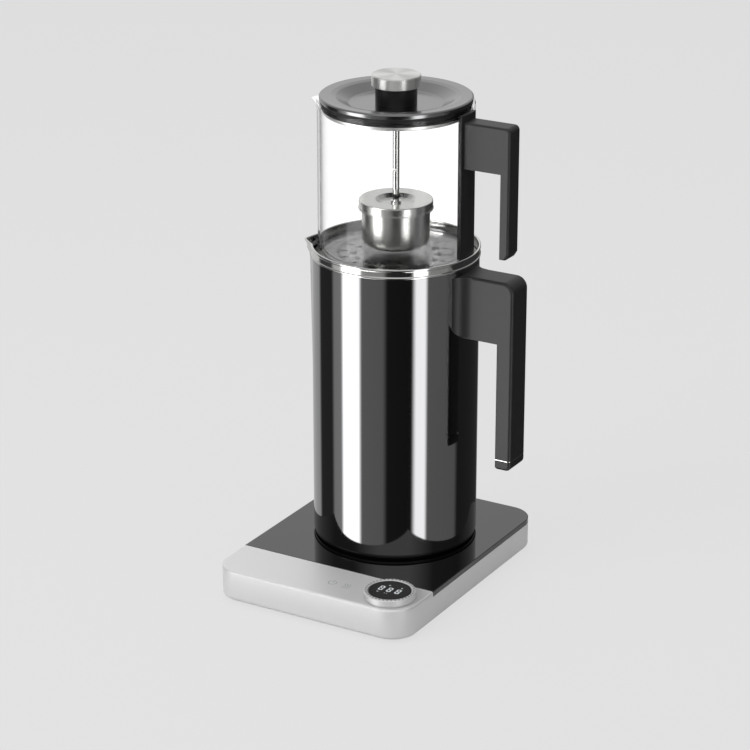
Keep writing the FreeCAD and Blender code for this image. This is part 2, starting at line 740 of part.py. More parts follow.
def make_dial():
    """The dial: a turning ring round a display that stays still and is pushed in with it."""
    foot = glass_top + press_travel + slip_gap * 2
    top = glass_top + dial_rise
    sleeve_end = panel_bottom - joint_gap - magnet_height
    carrier_top = top - lens_thickness - slip_gap
    flange_top = sleeve_end - slip_gap
    flange_bottom = flange_top - carrier_floor
    carrier_outer = sleeve_inner - joint_gap
    module_radius = carrier_outer - carrier_wall - slip_gap
    turned("dial_ring", [
        (sleeve_inner, sleeve_end), (sleeve_outer, sleeve_end), (sleeve_outer, foot), (dial_radius, foot),
        (dial_radius, top - dial_bevel), (dial_radius - dial_bevel, top), (sleeve_inner, top)],
        at_dial=True)
    magnet_top = panel_bottom - joint_gap
    turned("encoder_magnets", [
        (sleeve_outer, sleeve_end), (magnet_radius, sleeve_end), (magnet_radius, magnet_top),
        (sleeve_outer, magnet_top)], at_dial=True)
    turned("display_carrier", [
        (0, flange_bottom), (sleeve_outer - slip_gap, flange_bottom), (sleeve_outer - slip_gap, flange_top),
        (carrier_outer, flange_top), (carrier_outer, carrier_top), (carrier_outer - carrier_wall, carrier_top),
        (carrier_outer - carrier_wall, flange_top), (0, flange_top)], at_dial=True)
    lens = new_body("display_lens", at_dial=True)
    posts(lens, [(0, 0)], lens_radius, carrier_top, carrier_top + lens_thickness)
    ease(lens, "Fillet", 0.4, ring(lens_radius, carrier_top + lens_thickness))
    module = new_body("display_module", at_dial=True)
    posts(module, [(0, 0)], module_radius, carrier_top - module_height, carrier_top)
    posts(module, [(0, 0)], module_radius / 2, flange_top, carrier_top - module_height)
    pickup_inner = sleeve_outer + running_gap
    pickup_top = magnet_top - magnet_height - press_travel - running_gap
    turned("encoder_pickup", [
        (pickup_inner, board_top), (magnet_radius, board_top), (magnet_radius, pickup_top),
        (pickup_inner, pickup_top)], at_dial=True)
    switch = new_body("push_switch", at_dial=True)
    switch_top = flange_bottom - press_travel - joint_gap
    posts(switch, [(0, 0)], switch_radius, board_top, switch_top)


def make_base_connector():
    tower_top = level(tower_height)
    collar_top = level(collar_height)
    groove_bottom = level(groove_floor)
    bottom = level(-socket_depth)
    turned("base_connector", [
        (pin_bore, bottom), (neck_radius, bottom), (neck_radius, glass_top), (collar_radius, glass_top),
        (collar_radius, collar_top), (tower_radius, collar_top), (tower_radius, tower_top),
        (groove_outer, tower_top), (groove_outer, groove_bottom), (groove_inner, groove_bottom),
        (groove_inner, tower_top), (pin_bore, tower_top)])
    contact_top = tower_top - 1
    turned("connector_contacts", [
        (groove_inner, groove_bottom), (groove_inner + contact_wall, groove_bottom),
        (groove_inner + contact_wall, contact_top), (groove_inner, contact_top)])


# Kettle

def make_kettle_connector():
    plate_bottom = level(kettle_floor - plate_thickness)
    cup_roof = level(tower_height + 1)
    skirt_bottom_z = level(collar_height + running_gap)
    skirt_inner = tower_radius + running_gap
    turned("kettle_connector", [
        (0, cup_roof), (skirt_inner, cup_roof), (skirt_inner, skirt_bottom_z), (skirt_radius, skirt_bottom_z),
        (skirt_radius, cup_roof), (flange_radius, cup_roof), (flange_radius, plate_bottom),
        (0, plate_bottom)])
    blade_inner = groove_inner + contact_wall + running_gap
    blade_bottom = level(groove_floor + 1)
    centre_pin = [(0, blade_bottom), (pin_bore - running_gap, blade_bottom),
                  (pin_bore - running_gap, cup_roof), (0, cup_roof)]
    blade = [(blade_inner, blade_bottom), (groove_outer - running_gap, blade_bottom),
             (groove_outer - running_gap, cup_roof), (blade_inner, cup_roof)]
    turned("kettle_contacts", centre_pin, extra=[blade])


def beak_section(body, tip, width, reach, bottom_z, top_z, height, inset):
    """One level of a pouring lip that narrows from its top down to the wall, facing -X."""
    share = (height - bottom_z) / (top_z - bottom_z)
    nose = reach + (tip - reach) * share - inset
    half = 3 + (width - 3) * share - inset
    root = reach - 4
    outline = [(-root, -half), (-nose, -1), (-nose, 1), (-root, half)]
    return draw(new_sketch(body, "XY_Plane", height, spout_angle), outline)


def beak(body, kind, tip, width, reach, bottom_z, top_z, low, high, inset=0):
    """Add or cut the stretch of a pouring lip between two heights."""
    lower = beak_section(body, tip, width, reach, bottom_z, top_z, low, inset)
    upper = beak_section(body, tip, width, reach, bottom_z, top_z, high, inset)
    before = volume(body)
    loft = body.newObject("PartDesign::" + kind, body.Name + "_lip")
    loft.Profile = lower
    loft.Sections = [upper]
    loft.Ruled = True
    if abs(volume(body) - before) < 1e-6:
        raise RuntimeError(f"{loft.Name} changed nothing")
    return loft


spout_bottom = level(rim_height - spout_drop)
spout_top = level(rim_height)


def kettle_beak(body, kind, low, high, inset=0):
    beak(body, kind, spout_tip, spout_width, kettle_radius, spout_bottom, spout_top, low, high, inset)


def make_kettle_shell():
    """The drawn steel body, with a raised floor, a ledge for the steam lid and an opening to the spout."""
    foot = level(kettle_foot)
    floor = level(kettle_floor)
    inside = level(kettle_floor + floor_thickness)
    ledge = level(ledge_top)
    top = level(band_bottom)
    ledge_inner = inner_radius - ledge_reach
    shell = turned("kettle_body", [
        (0, floor), (inner_radius, floor), (inner_radius, foot), (kettle_radius, foot),
        (kettle_radius, top), (inner_radius, top), (inner_radius, ledge), (ledge_inner, ledge),
        (inner_radius, ledge - ledge_reach), (inner_radius, inside), (0, inside)])
    ease(shell, "Fillet", 0.6, ring(kettle_radius, foot))
    kettle_beak(shell, "SubtractiveLoft", spout_bottom, top, spout_wall)

    rim_bottom, bead_low, bead_high, rim_top = top, top + 1.4, level(rim_height - 1.9), level(rim_height)
    rim = turned("kettle_rim", [
        (inner_radius, rim_bottom), (rim_radius, rim_bottom), (rim_radius, bead_low),
        (rim_radius - rim_groove, bead_low + 0.5), (rim_radius - rim_groove, bead_high - 0.5),
        (rim_radius, bead_high), (rim_radius, rim_top - 0.6), (rim_radius - 0.6, rim_top),
        (inner_radius + 0.6, rim_top), (inner_radius, rim_top - 0.6)])
    kettle_beak(rim, "AdditiveLoft", rim_bottom, rim_top)
    holes(rim, [(0, 0)], inner_radius, rim_bottom, rim_top)
    kettle_beak(rim, "SubtractiveLoft", rim_bottom, rim_top, spout_wall)

    spout = new_body("kettle_spout")
    kettle_beak(spout, "AdditiveLoft", spout_bottom, top)
    holes(spout, [(0, 0)], kettle_radius, spout_bottom, top)
    kettle_beak(spout, "SubtractiveLoft", spout_bottom, top, spout_wall)


def make_kettle_foot():
    """The black pan that closes the bottom: it stands on the glass and carries the heater's screws."""
    foot = level(kettle_foot)
    pan_top = foot + pan_upstand
    plate_low, plate_high = level(pan_rise), level(pan_rise + pan_sheet)
    edge_low = level(pan_edge_rise)
    inner = pan_foot_radius - pan_foot_width
    upstand = inner_radius - slip_gap
    bevelled = pan_radius - pan_edge_bevel
    pan = turned("kettle_foot_pan", [
        (pan_hole, plate_low), (inner, plate_low), (inner, glass_top), (pan_foot_radius, glass_top),
        (pan_foot_radius, edge_low), (bevelled, edge_low), (pan_radius, edge_low + pan_edge_bevel),
        (pan_radius, foot - pan_edge_bevel), (bevelled, foot - slip_gap), (upstand, foot - slip_gap),
        (upstand, pan_top), (pan_foot_radius, pan_top), (pan_foot_radius, plate_high),
        (pan_hole, plate_high)])
    screw_places = around(pan_screw_circle, (30, 150, 270))
    holes(pan, screw_places, screw_radius + slip_gap, plate_low, plate_high)
    screws = new_body("foot_pan_screws")
    plate_bottom = level(kettle_floor - plate_thickness)
    head_top = plate_high - pan_screw_sink
    posts(screws, screw_places, screw_head, head_top - screw_head_height, head_top)
    posts(screws, screw_places, screw_radius, head_top, plate_bottom + pan_screw_bite)
    holes(pan, screw_places, screw_head + slip_gap, plate_low, head_top)
    plate = new_body("heating_plate")
    posts(plate, [(0, 0)], plate_radius, plate_bottom, level(kettle_floor))
    holes(plate, screw_places, screw_radius, plate_bottom, plate_bottom + pan_screw_bite)
    element = new_body("heating_element")
    ring_sketch = new_sketch(element, "XZ_Plane")
    draw_circles(ring_sketch, [(element_circle, plate_bottom - element_radius)], element_radius)
    feature(element, "Revolution", ring_sketch, Angle=element_sweep)
    probe = new_body("temperature_sensor")
    posts(probe, around(sensor_place, (90,)), probe_radius, plate_bottom - probe_length, plate_bottom)


def cut_to_body(body, radius, bottom, top):
    """Take the kettle's or the pot's own cylinder out of a piece that lies against it."""
    holes(body, [(0, 0)], radius, bottom, top)


def make_kettle_handle():
    """A moulded arm and grip, an outer cover, a bright seam and an end cap, on a steel bracket."""
    low, high = level(arm_bottom), level(arm_top)
    grip_end = level(grip_bottom)
    cap_line = grip_end + cap_height
    seam_line = cap_line + seam_height
    split_x = handle_reach - cover_depth
    split_z = high - cover_depth
    root = kettle_radius - 6
    half = handle_width / 2

    core = new_body("kettle_handle_core")
    slab(core, [(root, low), (grip_inner, low), (grip_inner, seam_line), (split_x, seam_line),
                (split_x, split_z), (root, split_z)], handle_width)
    cut_to_body(core, kettle_radius, low, high)
    ease(core, "Fillet", handle_edge * 0.6, upright(grip_inner, half))
    bracket_low = (low + high - bracket_height) / 2 - cover_depth / 2
    bracket_high = bracket_low + bracket_height
    bracket_end = kettle_radius + bracket_length
    slot = box_outline(root, bracket_end + slip_gap, -(bracket_width / 2 + slip_gap),
                       bracket_width / 2 + slip_gap)
    pocket(core, slot, bracket_low - slip_gap, bracket_high + slip_gap)
    bracket = new_body("kettle_handle_bracket")
    arm = box_outline(root, bracket_end, -bracket_width / 2, bracket_width / 2)
    pad(bracket, arm, bracket_low, bracket_high)
    inside = box_outline(kettle_radius + 2, bracket_end + 1, -(bracket_width / 2 - 1.5),
                         bracket_width / 2 - 1.5)
    pocket(bracket, inside, bracket_low - 1, bracket_high + 1)
    cut_to_body(bracket, kettle_radius, bracket_low - 1, bracket_high + 1)

    cover = new_body("kettle_handle_cover")
    slab(cover, [(split_x, seam_line), (handle_reach, seam_line), (handle_reach, high), (root, high),
                 (root, split_z), (split_x, split_z)], handle_width)
    cut_to_body(cover, kettle_radius, low, high)
    ease(cover, "Fillet", handle_round, across(handle_reach, high))

    def outer_edges(edge):
        box = edge.BoundBox
        on_side = near(abs(box.YMin), half) and near(abs(box.YMax), half) and box.YLength < 0.01
        outside = box.XMax > split_x.number + 0.5 and (
            near(box.XMin, handle_reach) or near(box.ZMax, high) or box.XLength > 5)
        inner = near(box.ZMax, split_z) or near(box.XMax, split_x)
        end = near(box.ZMin, seam_line) and near(box.ZMax, seam_line)
        return on_side and outside and not inner and not end
    ease(cover, "Fillet", handle_edge, outer_edges)

    cap = new_body("kettle_handle_cap")
    slab(cap, [(grip_inner, grip_end), (handle_reach, grip_end), (handle_reach, cap_line),
               (grip_inner, cap_line)], handle_width)
    ease(cap, "Fillet", cap_height * 0.6, across(handle_reach, grip_end))
    ease(cap, "Fillet", handle_edge * 0.6, upright(grip_inner, half))

    def cap_edges(edge):
        box = edge.BoundBox
        on_side = near(abs(box.YMin), half) and near(abs(box.YMax), half) and box.YLength < 0.01
        return on_side and not near(box.ZMin, cap_line) and box.XMax > grip_inner.number + 2
    ease(cap, "Fillet", handle_edge, cap_edges)
    seam = new_body("kettle_handle_seam")
    slab(seam, [(grip_inner + seam_inset, cap_line), (handle_reach - seam_inset, cap_line),
                (handle_reach - seam_inset, seam_line), (grip_inner + seam_inset, seam_line)],
         handle_width - 2 * seam_inset)
    ease(seam, "Fillet", handle_edge, either(upright_short(handle_reach - seam_inset)))
    return bracket_low, bracket_high


def upright_short(x):
    """A test for a vertical edge of a thin plate at this x."""
    def wanted(edge):
        box = edge.BoundBox
        return box.ZLength > 0.1 and box.XLength < 0.01 and box.YLength < 0.01 and near(box.XMin, x)
    return wanted


def make_handle_screws(bracket_low, bracket_high):
    """Two screws that go up through the arm into the bracket."""
    screws = new_body("kettle_handle_screws")
    places = [(kettle_radius + bracket_screw_near, 0), (kettle_radius + bracket_screw_far, 0)]
    posts(screws, places, screw_radius, bracket_low + 0.5, bracket_high - 0.5)


# Steam lid

def make_steam_lid():
    surface = level(plate_surface)
    under = surface - lid_sheet
    seat = surface + seat_rise
    flange = level(ledge_top) + joint_gap
    edge = inner_radius - running_gap
    plate = turned("steam_plate", [
        (0, under), (seat_inner - 2, under), (seat_inner, seat - lid_sheet), (seat_outer, seat - lid_sheet),
        (seat_outer + 3, flange), (edge, flange), (edge, flange + lid_sheet),
        (seat_outer + 3.4, flange + lid_sheet), (seat_outer + 0.4, seat), (seat_inner - 0.4, seat),
        (seat_inner - 2.4, surface), (0, surface)])
    bump = posts(plate, [(bump_circle, 0)], bump_radius, under, surface + bump_height)
    repeat(plate, bump, bump_count)
    hole = holes(plate, [(bump_circle, 0)], bump_hole, under, surface + bump_height)
    repeat(plate, hole, bump_count)
    half_length, half_slot = slot_length / 2, slot_width / 2
    slot = pocket(plate, box_outline(slot_circle - half_length, slot_circle + half_length,
                                     -half_slot, half_slot), under, surface)
    repeat(plate, slot, slot_count)


# Teapot

def make_pot():
    bottom, rim = level(pot_bottom), level(pot_rim)
    inside = pot_radius - pot_wall
    glass = turned("pot_glass", [
        (0, bottom), (pot_radius, bottom), (pot_radius, rim), (inside, rim), (inside, bottom + pot_floor),
        (0, bottom + pot_floor)])
    ease(glass, "Fillet", pot_corner, ring(pot_radius, bottom))
    ease(glass, "Fillet", pot_corner - pot_wall, ring(inside, bottom + pot_floor))
    lip_bottom = rim - lip_drop
    sizes = (lip_tip, lip_width, pot_radius, lip_bottom, rim, lip_bottom, rim)
    beak(glass, "AdditiveLoft", *sizes)
    holes(glass, [(0, 0)], inside, lip_bottom, rim)
    beak(glass, "SubtractiveLoft", *sizes, inset=pot_wall / 2)


def make_pot_handle():
    strap_inner = pot_radius + slip_gap
    strap_outer = strap_inner + strap_thickness
    strap_low = level(strap_bottom)
    strap_high = level(pot_rim) - 1
    strap = turned("pot_handle_strap", [
        (strap_inner, strap_low), (strap_outer, strap_low), (strap_outer, strap_high),
        (strap_inner, strap_high)], angle=strap_sweep)
    low, high = level(pot_arm_bottom), level(pot_arm_top)
    grip_end = level(pot_grip_bottom)
    root = pot_radius - 2
    half = pot_handle_width / 2
    handle = new_body("pot_handle")
    slab(handle, [(root, low), (pot_grip_inner, low), (pot_grip_inner, grip_end),
                  (pot_handle_reach - pot_grip_taper, grip_end), (pot_handle_reach, grip_end + pot_taper_height),
                  (pot_handle_reach, high), (root, high)], pot_handle_width)
    cut_to_body(handle, strap_outer, low, high)
    ease(handle, "Fillet", pot_handle_round, across(pot_handle_reach, high))

    def outer_edges(edge):
        box = edge.BoundBox
        on_side = near(abs(box.YMin), half) and near(abs(box.YMax), half) and box.YLength < 0.01
        outside = near(box.XMax, pot_handle_reach) or near(box.ZMin, high) or (
            box.ZMax > high.number - 0.5 and box.XMax > pot_grip_inner.number)
        return on_side and outside
    ease(handle, "Fillet", pot_handle_edge, outer_edges)
    screw_levels = [level(pot_screw_low), level(pot_screw_high)]
    for body, radius, start, length in (
            (strap, screw_head + slip_gap, strap_inner - 1, pot_screw_head + 1),
            (strap, screw_radius + slip_gap, strap_inner - 1, strap_thickness + 2),
            (handle, screw_radius, strap_outer - 1, pot_screw_length + 1)):
        sketch = new_sketch(body, "YZ_Plane", start)
        draw_circles(sketch, [(0, z) for z in screw_levels], radius)
        feature(body, "Pocket", sketch, Length=length, Reversed=True)
    screws = new_body("pot_handle_screws")
    heads = draw_circles(new_sketch(screws, "YZ_Plane", strap_inner), [(0, z) for z in screw_levels], screw_head)
    feature(screws, "Pad", heads, Length=pot_screw_head)
    shanks = draw_circles(new_sketch(screws, "YZ_Plane", strap_inner + pot_screw_head),
                          [(0, z) for z in screw_levels], screw_radius)
    feature(screws, "Pad", shanks, Length=pot_screw_length)


# Teapot lid

def make_pot_lid():
    low, high, floor = level(lid_bottom), level(lid_top), level(dish_floor)
    sheet_metal = lid_plate_sheet
    slope_end = dish_radius + dish_slope
    bore = stud_radius + slip_gap
    turned("lid_plate", [
        (bore, floor - sheet_metal), (dish_radius + 0.6, floor - sheet_metal),
        (slope_end + 0.6, high - 2.3), (slope_end + 4.2, high - 1.5), (lid_radius - sheet_metal, high - 1.3),
        (lid_radius - sheet_metal, low), (lid_radius, low), (lid_radius, high - 0.8),
        (lid_radius - 0.9, high - 0.1), (lid_radius - 3, high), (slope_end + 4, high - 0.3),
        (slope_end, high - 1.1), (dish_radius, floor), (bore, floor)])
    skirt_inner = lid_skirt_radius - skirt_wall
    turned("lid_skirt", [
        (skirt_inner - 2, level(skirt_bottom)), (lid_skirt_radius, level(skirt_bottom)),
        (lid_skirt_radius, high - 1.4), (skirt_inner, high - 1.4), (skirt_inner, level(skirt_bottom) + 1),
        (skirt_inner - 2, level(skirt_bottom) + 1)])
    rim = level(pot_rim)
    fin = pot_radius - pot_wall - joint_gap
    seal_low, seal_outer = rim - seal_depth, lid_skirt_radius + seal_wall
    turned("lid_seal", [
        (lid_skirt_radius, seal_low), (seal_outer, seal_low), (seal_outer, seal_low + fin_height),
        (fin, seal_low + fin_height * 2), (fin, seal_low + fin_height * 3),
        (seal_outer, seal_low + fin_height * 3), (seal_outer, rim + joint_gap),
        (lid_radius - running_gap, rim + joint_gap), (lid_radius - running_gap, low),
        (lid_skirt_radius, low)])
    turned("knob_neck", [
        (bore, floor), (knob_neck_radius, floor), (knob_neck_radius, level(cap_bottom)),
        (bore, level(cap_bottom))])
    stud_top = level(cap_bottom) + 4
    bottom, top = level(cap_bottom), level(cap_top)
    turned("knob_cap", [
        (0, stud_top), (bore, stud_top), (bore, bottom), (cap_radius - cap_bevel, bottom),
        (cap_radius, bottom + cap_bevel), (cap_radius, top - cap_bevel), (cap_radius - cap_bevel, top),
        (0, top + 0.4)])
    stud = new_body("knob_stud")
    posts(stud, [(0, 0)], stud_radius, stud_top - stud_length, stud_top)
    rod_top = floor - sheet_metal
    hook_line = level(hook_top)
    rod = new_body("upper_rod")
    posts(rod, [(0, 0)], rod_radius, hook_line, rod_top)
    holes(rod, [(0, 0)], stud_radius, stud_top - stud_length, rod_top)
    hook_low = hook_line - hook_height
    barb_top = hook_low + hook_barb
    hook_profile(rod, [
        (rod_radius - hook_tongue, hook_line), (rod_radius - hook_tongue, barb_top),
        (-(rod_radius - hook_tongue - hook_gap), barb_top), (-(rod_radius - hook_tongue - hook_gap), hook_low),
        (rod_radius + 1, hook_low), (rod_radius + 1, hook_line)], hook_low, hook_line)
    nut = new_body("rod_nut")
    posts(nut, [(0, 0)], nut_radius, rod_top - nut_height, rod_top)
    holes(nut, [(0, 0)], rod_radius, rod_top - nut_height, rod_top)
    ease(nut, "Chamfer", 0.6, ring(nut_radius, rod_top - nut_height))


def hook_profile(body, outline, low, high):
    """Add one half of the hook joint: a flat profile trimmed to the round of the rod."""
    slab(body, outline, 2 * rod_radius)
    far = rod_radius * 3
    trim = new_sketch(body, "XY_Plane", low)
    draw(trim, box_outline(-far, far, -far, far))
    draw_circles(trim, [(0, 0)], rod_radius)
    before = volume(body)
    item = body.newObject("PartDesign::Pocket", body.Name + "_trim")
    item.Profile = trim
    item.Reversed = True
    item.Length = (high - low).number
    bind(item, "Length", high - low)
    if before - volume(body) < 1e-6:
        raise RuntimeError(f"{item.Name} changed nothing")


# Infuser

def make_infuser():
    hook_line = level(hook_top)
    hook_low = hook_line - hook_height
    barb_low = hook_low + hook_barb + hook_gap
    barb_high = barb_low + hook_barb
    dish = level(basket_lid_top) - basket_dish_depth
    rod_end = dish + foot_nut_height
    rod = new_body("lower_rod")
    posts(rod, [(0, 0)], rod_radius, dish, hook_low - hook_gap)
    reach = rod_radius - hook_tongue
    hook_profile(rod, [
        (-(rod_radius + 1), hook_low - hook_gap), (-reach, hook_low - hook_gap), (-reach, barb_low),
        (reach - hook_gap, barb_low), (reach - hook_gap, barb_high), (-(rod_radius + 1), barb_high)],
        hook_low - hook_gap, barb_high)
    posts(rod, [(0, 0)], foot_nut_radius, dish, rod_end)

    top, bottom = level(basket_lid_top), level(basket_lid_bottom)
    lid_inner = basket_lid_radius - basket_sheet
    slope = basket_dish_radius + 4
    lid = turned("infuser_lid", [
        (0, dish - basket_sheet), (basket_dish_radius + 0.3, dish - basket_sheet),
        (slope + 0.3, top - basket_sheet), (lid_inner, top - basket_sheet), (lid_inner, bottom),
        (basket_lid_radius + bead_reach, bottom), (basket_lid_radius + bead_reach, bottom + bead_height),
        (basket_lid_radius, bottom + bead_height), (basket_lid_radius, top - 0.5),
        (basket_lid_radius - 0.5, top), (slope, top), (basket_dish_radius, dish), (0, dish)])
    tab_bottom = bottom + 0.4
    lug_bottom = tab_bottom + lug_height + joint_gap
    reach = lug_length
    tab = pad(lid, box_outline(lid_inner - reach, lid_inner + 0.3, -3, 3), tab_bottom, tab_bottom + lug_height)
    repeat(lid, tab, Size(3, "3"))

    cup_top = top - basket_sheet - cup_margin
    low = level(cup_bottom)
    inner = cup_radius - basket_sheet
    cup = turned("infuser_cup", [
        (0, low), (cup_radius, low), (cup_radius, cup_top), (inner, cup_top), (inner, low + basket_sheet),
        (0, low + basket_sheet)])
    ease(cup, "Fillet", cup_corner, ring(cup_radius, low))
    ease(cup, "Fillet", cup_corner - basket_sheet, ring(inner, low + basket_sheet))
    lug_reach = lid_inner - joint_gap
    lug = pad(cup, box_outline(inner + 0.4, lug_reach, -2.5, 2.5), lug_bottom, lug_bottom + lug_height)
    repeat(cup, lug, Size(3, "3"))
    first = holes(cup, [(perforation_pitch * (k + 1), 0) for k in range(4)], perforation_radius,
                  low, low + basket_sheet)
    repeat(cup, first, Size(16, "16"))


make_housing()
make_glass_plate()
make_bottom_cover()
make_base_fixings()
make_gland()
make_boards()
make_dial()
make_base_connector()
make_kettle_connector()
make_kettle_shell()
make_kettle_foot()
make_handle_screws(*make_kettle_handle())
make_steam_lid()
make_pot()
make_pot_handle()
make_pot_lid()
make_infuser()
doc.recompute()

for item in doc.Objects:
    for state in ("Invalid", "Error"):
        if state in item.State:
            raise RuntimeError(f"{item.Label} is {state}")
os.makedirs("parts", exist_ok=True)
for node in nodes:
    if node.Shape.isNull() or not node.Shape.isValid():
        raise RuntimeError(f"{node.Label} has no valid shape")
    node.Shape.exportStep(f"parts/{node.Label}.step")
    box = node.Shape.BoundBox
    print(f"{node.Label}: {len(node.Shape.Solids)} solid(s), {node.Shape.Volume / 1000:.2f} cm3, "
          f"x {box.XMin:.1f}..{box.XMax:.1f}, y {box.YMin:.1f}..{box.YMax:.1f}, z {box.ZMin:.1f}..{box.ZMax:.1f}")
print(len(nodes), "nodes")
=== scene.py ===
# %% [markdown]
# # A tea maker in a plain studio
# The object is a flat base with a dial, a tall dark steel kettle on it, and a glass teapot with a
# hanging infuser on top. The frame already holds every piece at its real size, so this lesson is about
# two things: finishes that behave like the real ones, and finer meshes where light shows every facet.

# %% Load the frame
import json
import math
import bpy
import bmesh
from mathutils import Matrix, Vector


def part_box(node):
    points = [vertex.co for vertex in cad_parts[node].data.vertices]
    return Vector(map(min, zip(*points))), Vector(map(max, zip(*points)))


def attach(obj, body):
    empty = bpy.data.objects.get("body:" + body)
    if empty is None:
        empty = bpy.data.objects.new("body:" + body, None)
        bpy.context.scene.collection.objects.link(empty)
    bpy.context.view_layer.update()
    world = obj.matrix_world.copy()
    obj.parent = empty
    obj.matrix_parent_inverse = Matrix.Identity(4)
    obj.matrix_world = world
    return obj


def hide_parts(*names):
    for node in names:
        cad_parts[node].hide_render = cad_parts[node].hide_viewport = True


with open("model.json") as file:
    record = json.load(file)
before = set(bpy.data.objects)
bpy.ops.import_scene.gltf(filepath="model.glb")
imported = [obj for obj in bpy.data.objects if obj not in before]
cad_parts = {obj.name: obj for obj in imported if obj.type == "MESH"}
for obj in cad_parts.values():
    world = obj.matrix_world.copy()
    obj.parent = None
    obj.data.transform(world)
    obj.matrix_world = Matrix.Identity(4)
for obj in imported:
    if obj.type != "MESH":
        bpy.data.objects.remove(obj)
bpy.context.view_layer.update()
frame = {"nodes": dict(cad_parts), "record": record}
nodes = frame["nodes"]
MM = 0.001

# %% [markdown]
# ## Where things are
# Round pieces share two axes: the kettle's and the dial's. Both are read from the frame, so the pieces
# made here follow it. The glass plate's top is the level that the kettle and teapot are measured from.

# %% Axes and levels
def middle(node):
    low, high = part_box(node)
    return (low + high) / 2


AXIS = middle("knob_cap")
DIAL = middle("display_lens")
GLASS_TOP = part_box("glass_plate")[1].z
print("kettle axis", tuple(round(v, 4) for v in AXIS), "glass top", round(GLASS_TOP, 4))


def up(height):
    """A height above the glass plate in millimetres, as a height in the scene."""
    return GLASS_TOP + height * MM


# %% [markdown]
# ## The camera
# The photograph was taken with a long lens from the front right, looking down by 21 degrees. A lens of
# 130 mm two metres away keeps the kettle's sides almost parallel, as they are there.

# %% Camera
LENS = 130.04
TURN = math.radians(30.225)
PITCH = math.radians(21.025)
DISTANCE = 1.9898
SIDEWAYS = -0.01608
CAMERA_HEIGHT = 0.89544

camera_data = bpy.data.cameras.new("camera")
camera_data.lens = LENS
camera_data.sensor_width = 36
camera_data.clip_end = 50
camera = bpy.data.objects.new("camera", camera_data)
bpy.context.scene.collection.objects.link(camera)
camera.location = (
    AXIS.x + math.sin(TURN) * DISTANCE + math.cos(TURN) * SIDEWAYS,
    AXIS.y - math.cos(TURN) * DISTANCE + math.sin(TURN) * SIDEWAYS,
    GLASS_TOP + CAMERA_HEIGHT)
camera.rotation_euler = (math.pi / 2 - PITCH, 0, TURN)
bpy.context.scene.camera = camera
print("camera", tuple(round(v, 3) for v in camera.location))

# %% [markdown]
# ## Colours and nodes
# Colours are written as sRGB hex, the way a designer reads them off a swatch, and one function turns
# them to the linear values that light is computed in. One more adds a node with its settings and links.

# %% Colour and node helpers
def colour(hex_code):
    values = [int(hex_code[i:i + 2], 16) / 255 for i in (0, 2, 4)]
    linear = [v / 12.92 if v <= 0.04045 else ((v + 0.055) / 1.055) ** 2.4 for v in values]
    return (*linear, 1)


def grey(value):
    """A linear grey, which may be over 1 for light."""
    return (value, value, value, 1)


def add(tree, kind, inputs=None, stops=(), **settings):
    """A node with its settings. Each input is a value, or an output to link from.

    The stops of a colour ramp are (place, grey) pairs.
    """
    node = tree.nodes.new(kind)
    for name, value in settings.items():
        setattr(node, name, value)
    for name, value in (inputs or {}).items():
        socket = node.inputs[name]
        if isinstance(value, bpy.types.NodeSocket):
            tree.links.new(value, socket)
        else:
            socket.default_value = value
    if stops:
        elements = node.color_ramp.elements
        while len(elements) < len(stops):
            elements.new(0.5)
        for element, (place, value) in zip(elements, stops):
            element.position = place
            element.color = grey(value)
    return node


print("middle grey is", colour("808080"))

# %% [markdown]
# ## The studio
# Polished steel shows nothing but its surroundings. The kettle is photographed between tall softboxes
# with dark gaps, so the world holds those upright bands for mirror rays, by compass direction. Rays that
# look for soft light find one even grey, and what the glass lets through is the bright backdrop.

# %% World with softbox bands
BACKDROP = 0.737          # sRGB 223
THROUGH_GLASS = 1.16      # the backdrop as the pot shows it, bright enough to outlast four surfaces
AMBIENT = 0.42            # what matt surfaces gather from every side
BAND_PEAK = 4.0           # the brightest band; the ramp holds each as a share of it
# Angle round the kettle from the camera, positive to the right, and the brightness there
BANDS = [(-180, 0.62), (-132, 0.62), (-126, 0.05), (-99, 0.05), (-94, 0.50), (-81, 0.55), (-77, 4.0),
         (-53, 4.0), (-48.5, 0.30), (-18, 0.27), (-12, 0.025), (22, 0.02), (28, 3.0), (40.5, 3.1), (45, 0.27),
         (90, 0.24), (97, 0.03), (160, 0.04), (180, 0.5)]
# Above the horizon a canopy is bright behind and in front, and falls off at the sides
CANOPY = [(-180, 0.86), (-158, 0.86), (-125, 0.45), (-95, 0.16), (-60, 0.16), (-25, 0.9), (20, 0.9),
          (55, 0.16), (100, 0.12), (135, 0.42), (160, 0.66), (180, 0.86)]
ZENITH = 0.62             # straight overhead the canopy is even
# Upwards part of a direction, from 0 level to 1 overhead, over which one gives way to the next
BANDS_TO_CANOPY = {"From Min": -0.05, "From Max": 0.2}
CANOPY_TO_ZENITH = {"From Min": 0.55, "From Max": 0.95}

world = bpy.data.worlds.new("studio")
bpy.context.scene.world = world
world.use_nodes = True
tree = world.node_tree
tree.nodes.clear()
direction = add(tree, "ShaderNodeTexCoord").outputs["Generated"]
compass = [(math.cos(TURN), math.sin(TURN), 0), (math.sin(TURN), -math.cos(TURN), 0), (0, 0, 1)]
to_right, to_camera, upwards = [
    add(tree, "ShaderNodeVectorMath", {0: direction, 1: vector}, operation="DOT_PRODUCT").outputs["Value"]
    for vector in compass]
angle = add(tree, "ShaderNodeMath", {0: to_right, 1: to_camera}, operation="ARCTAN2").outputs[0]
share = add(tree, "ShaderNodeMapRange", {
    "Value": angle, "From Min": -math.pi, "From Max": math.pi}).outputs[0]
bands = add(tree, "ShaderNodeValToRGB", {0: share}, [((a + 180) / 360, v / BAND_PEAK) for a, v in BANDS])
bright_bands = add(tree, "ShaderNodeVectorMath", {
    0: bands.outputs["Color"], "Scale": BAND_PEAK}, operation="SCALE").outputs[0]
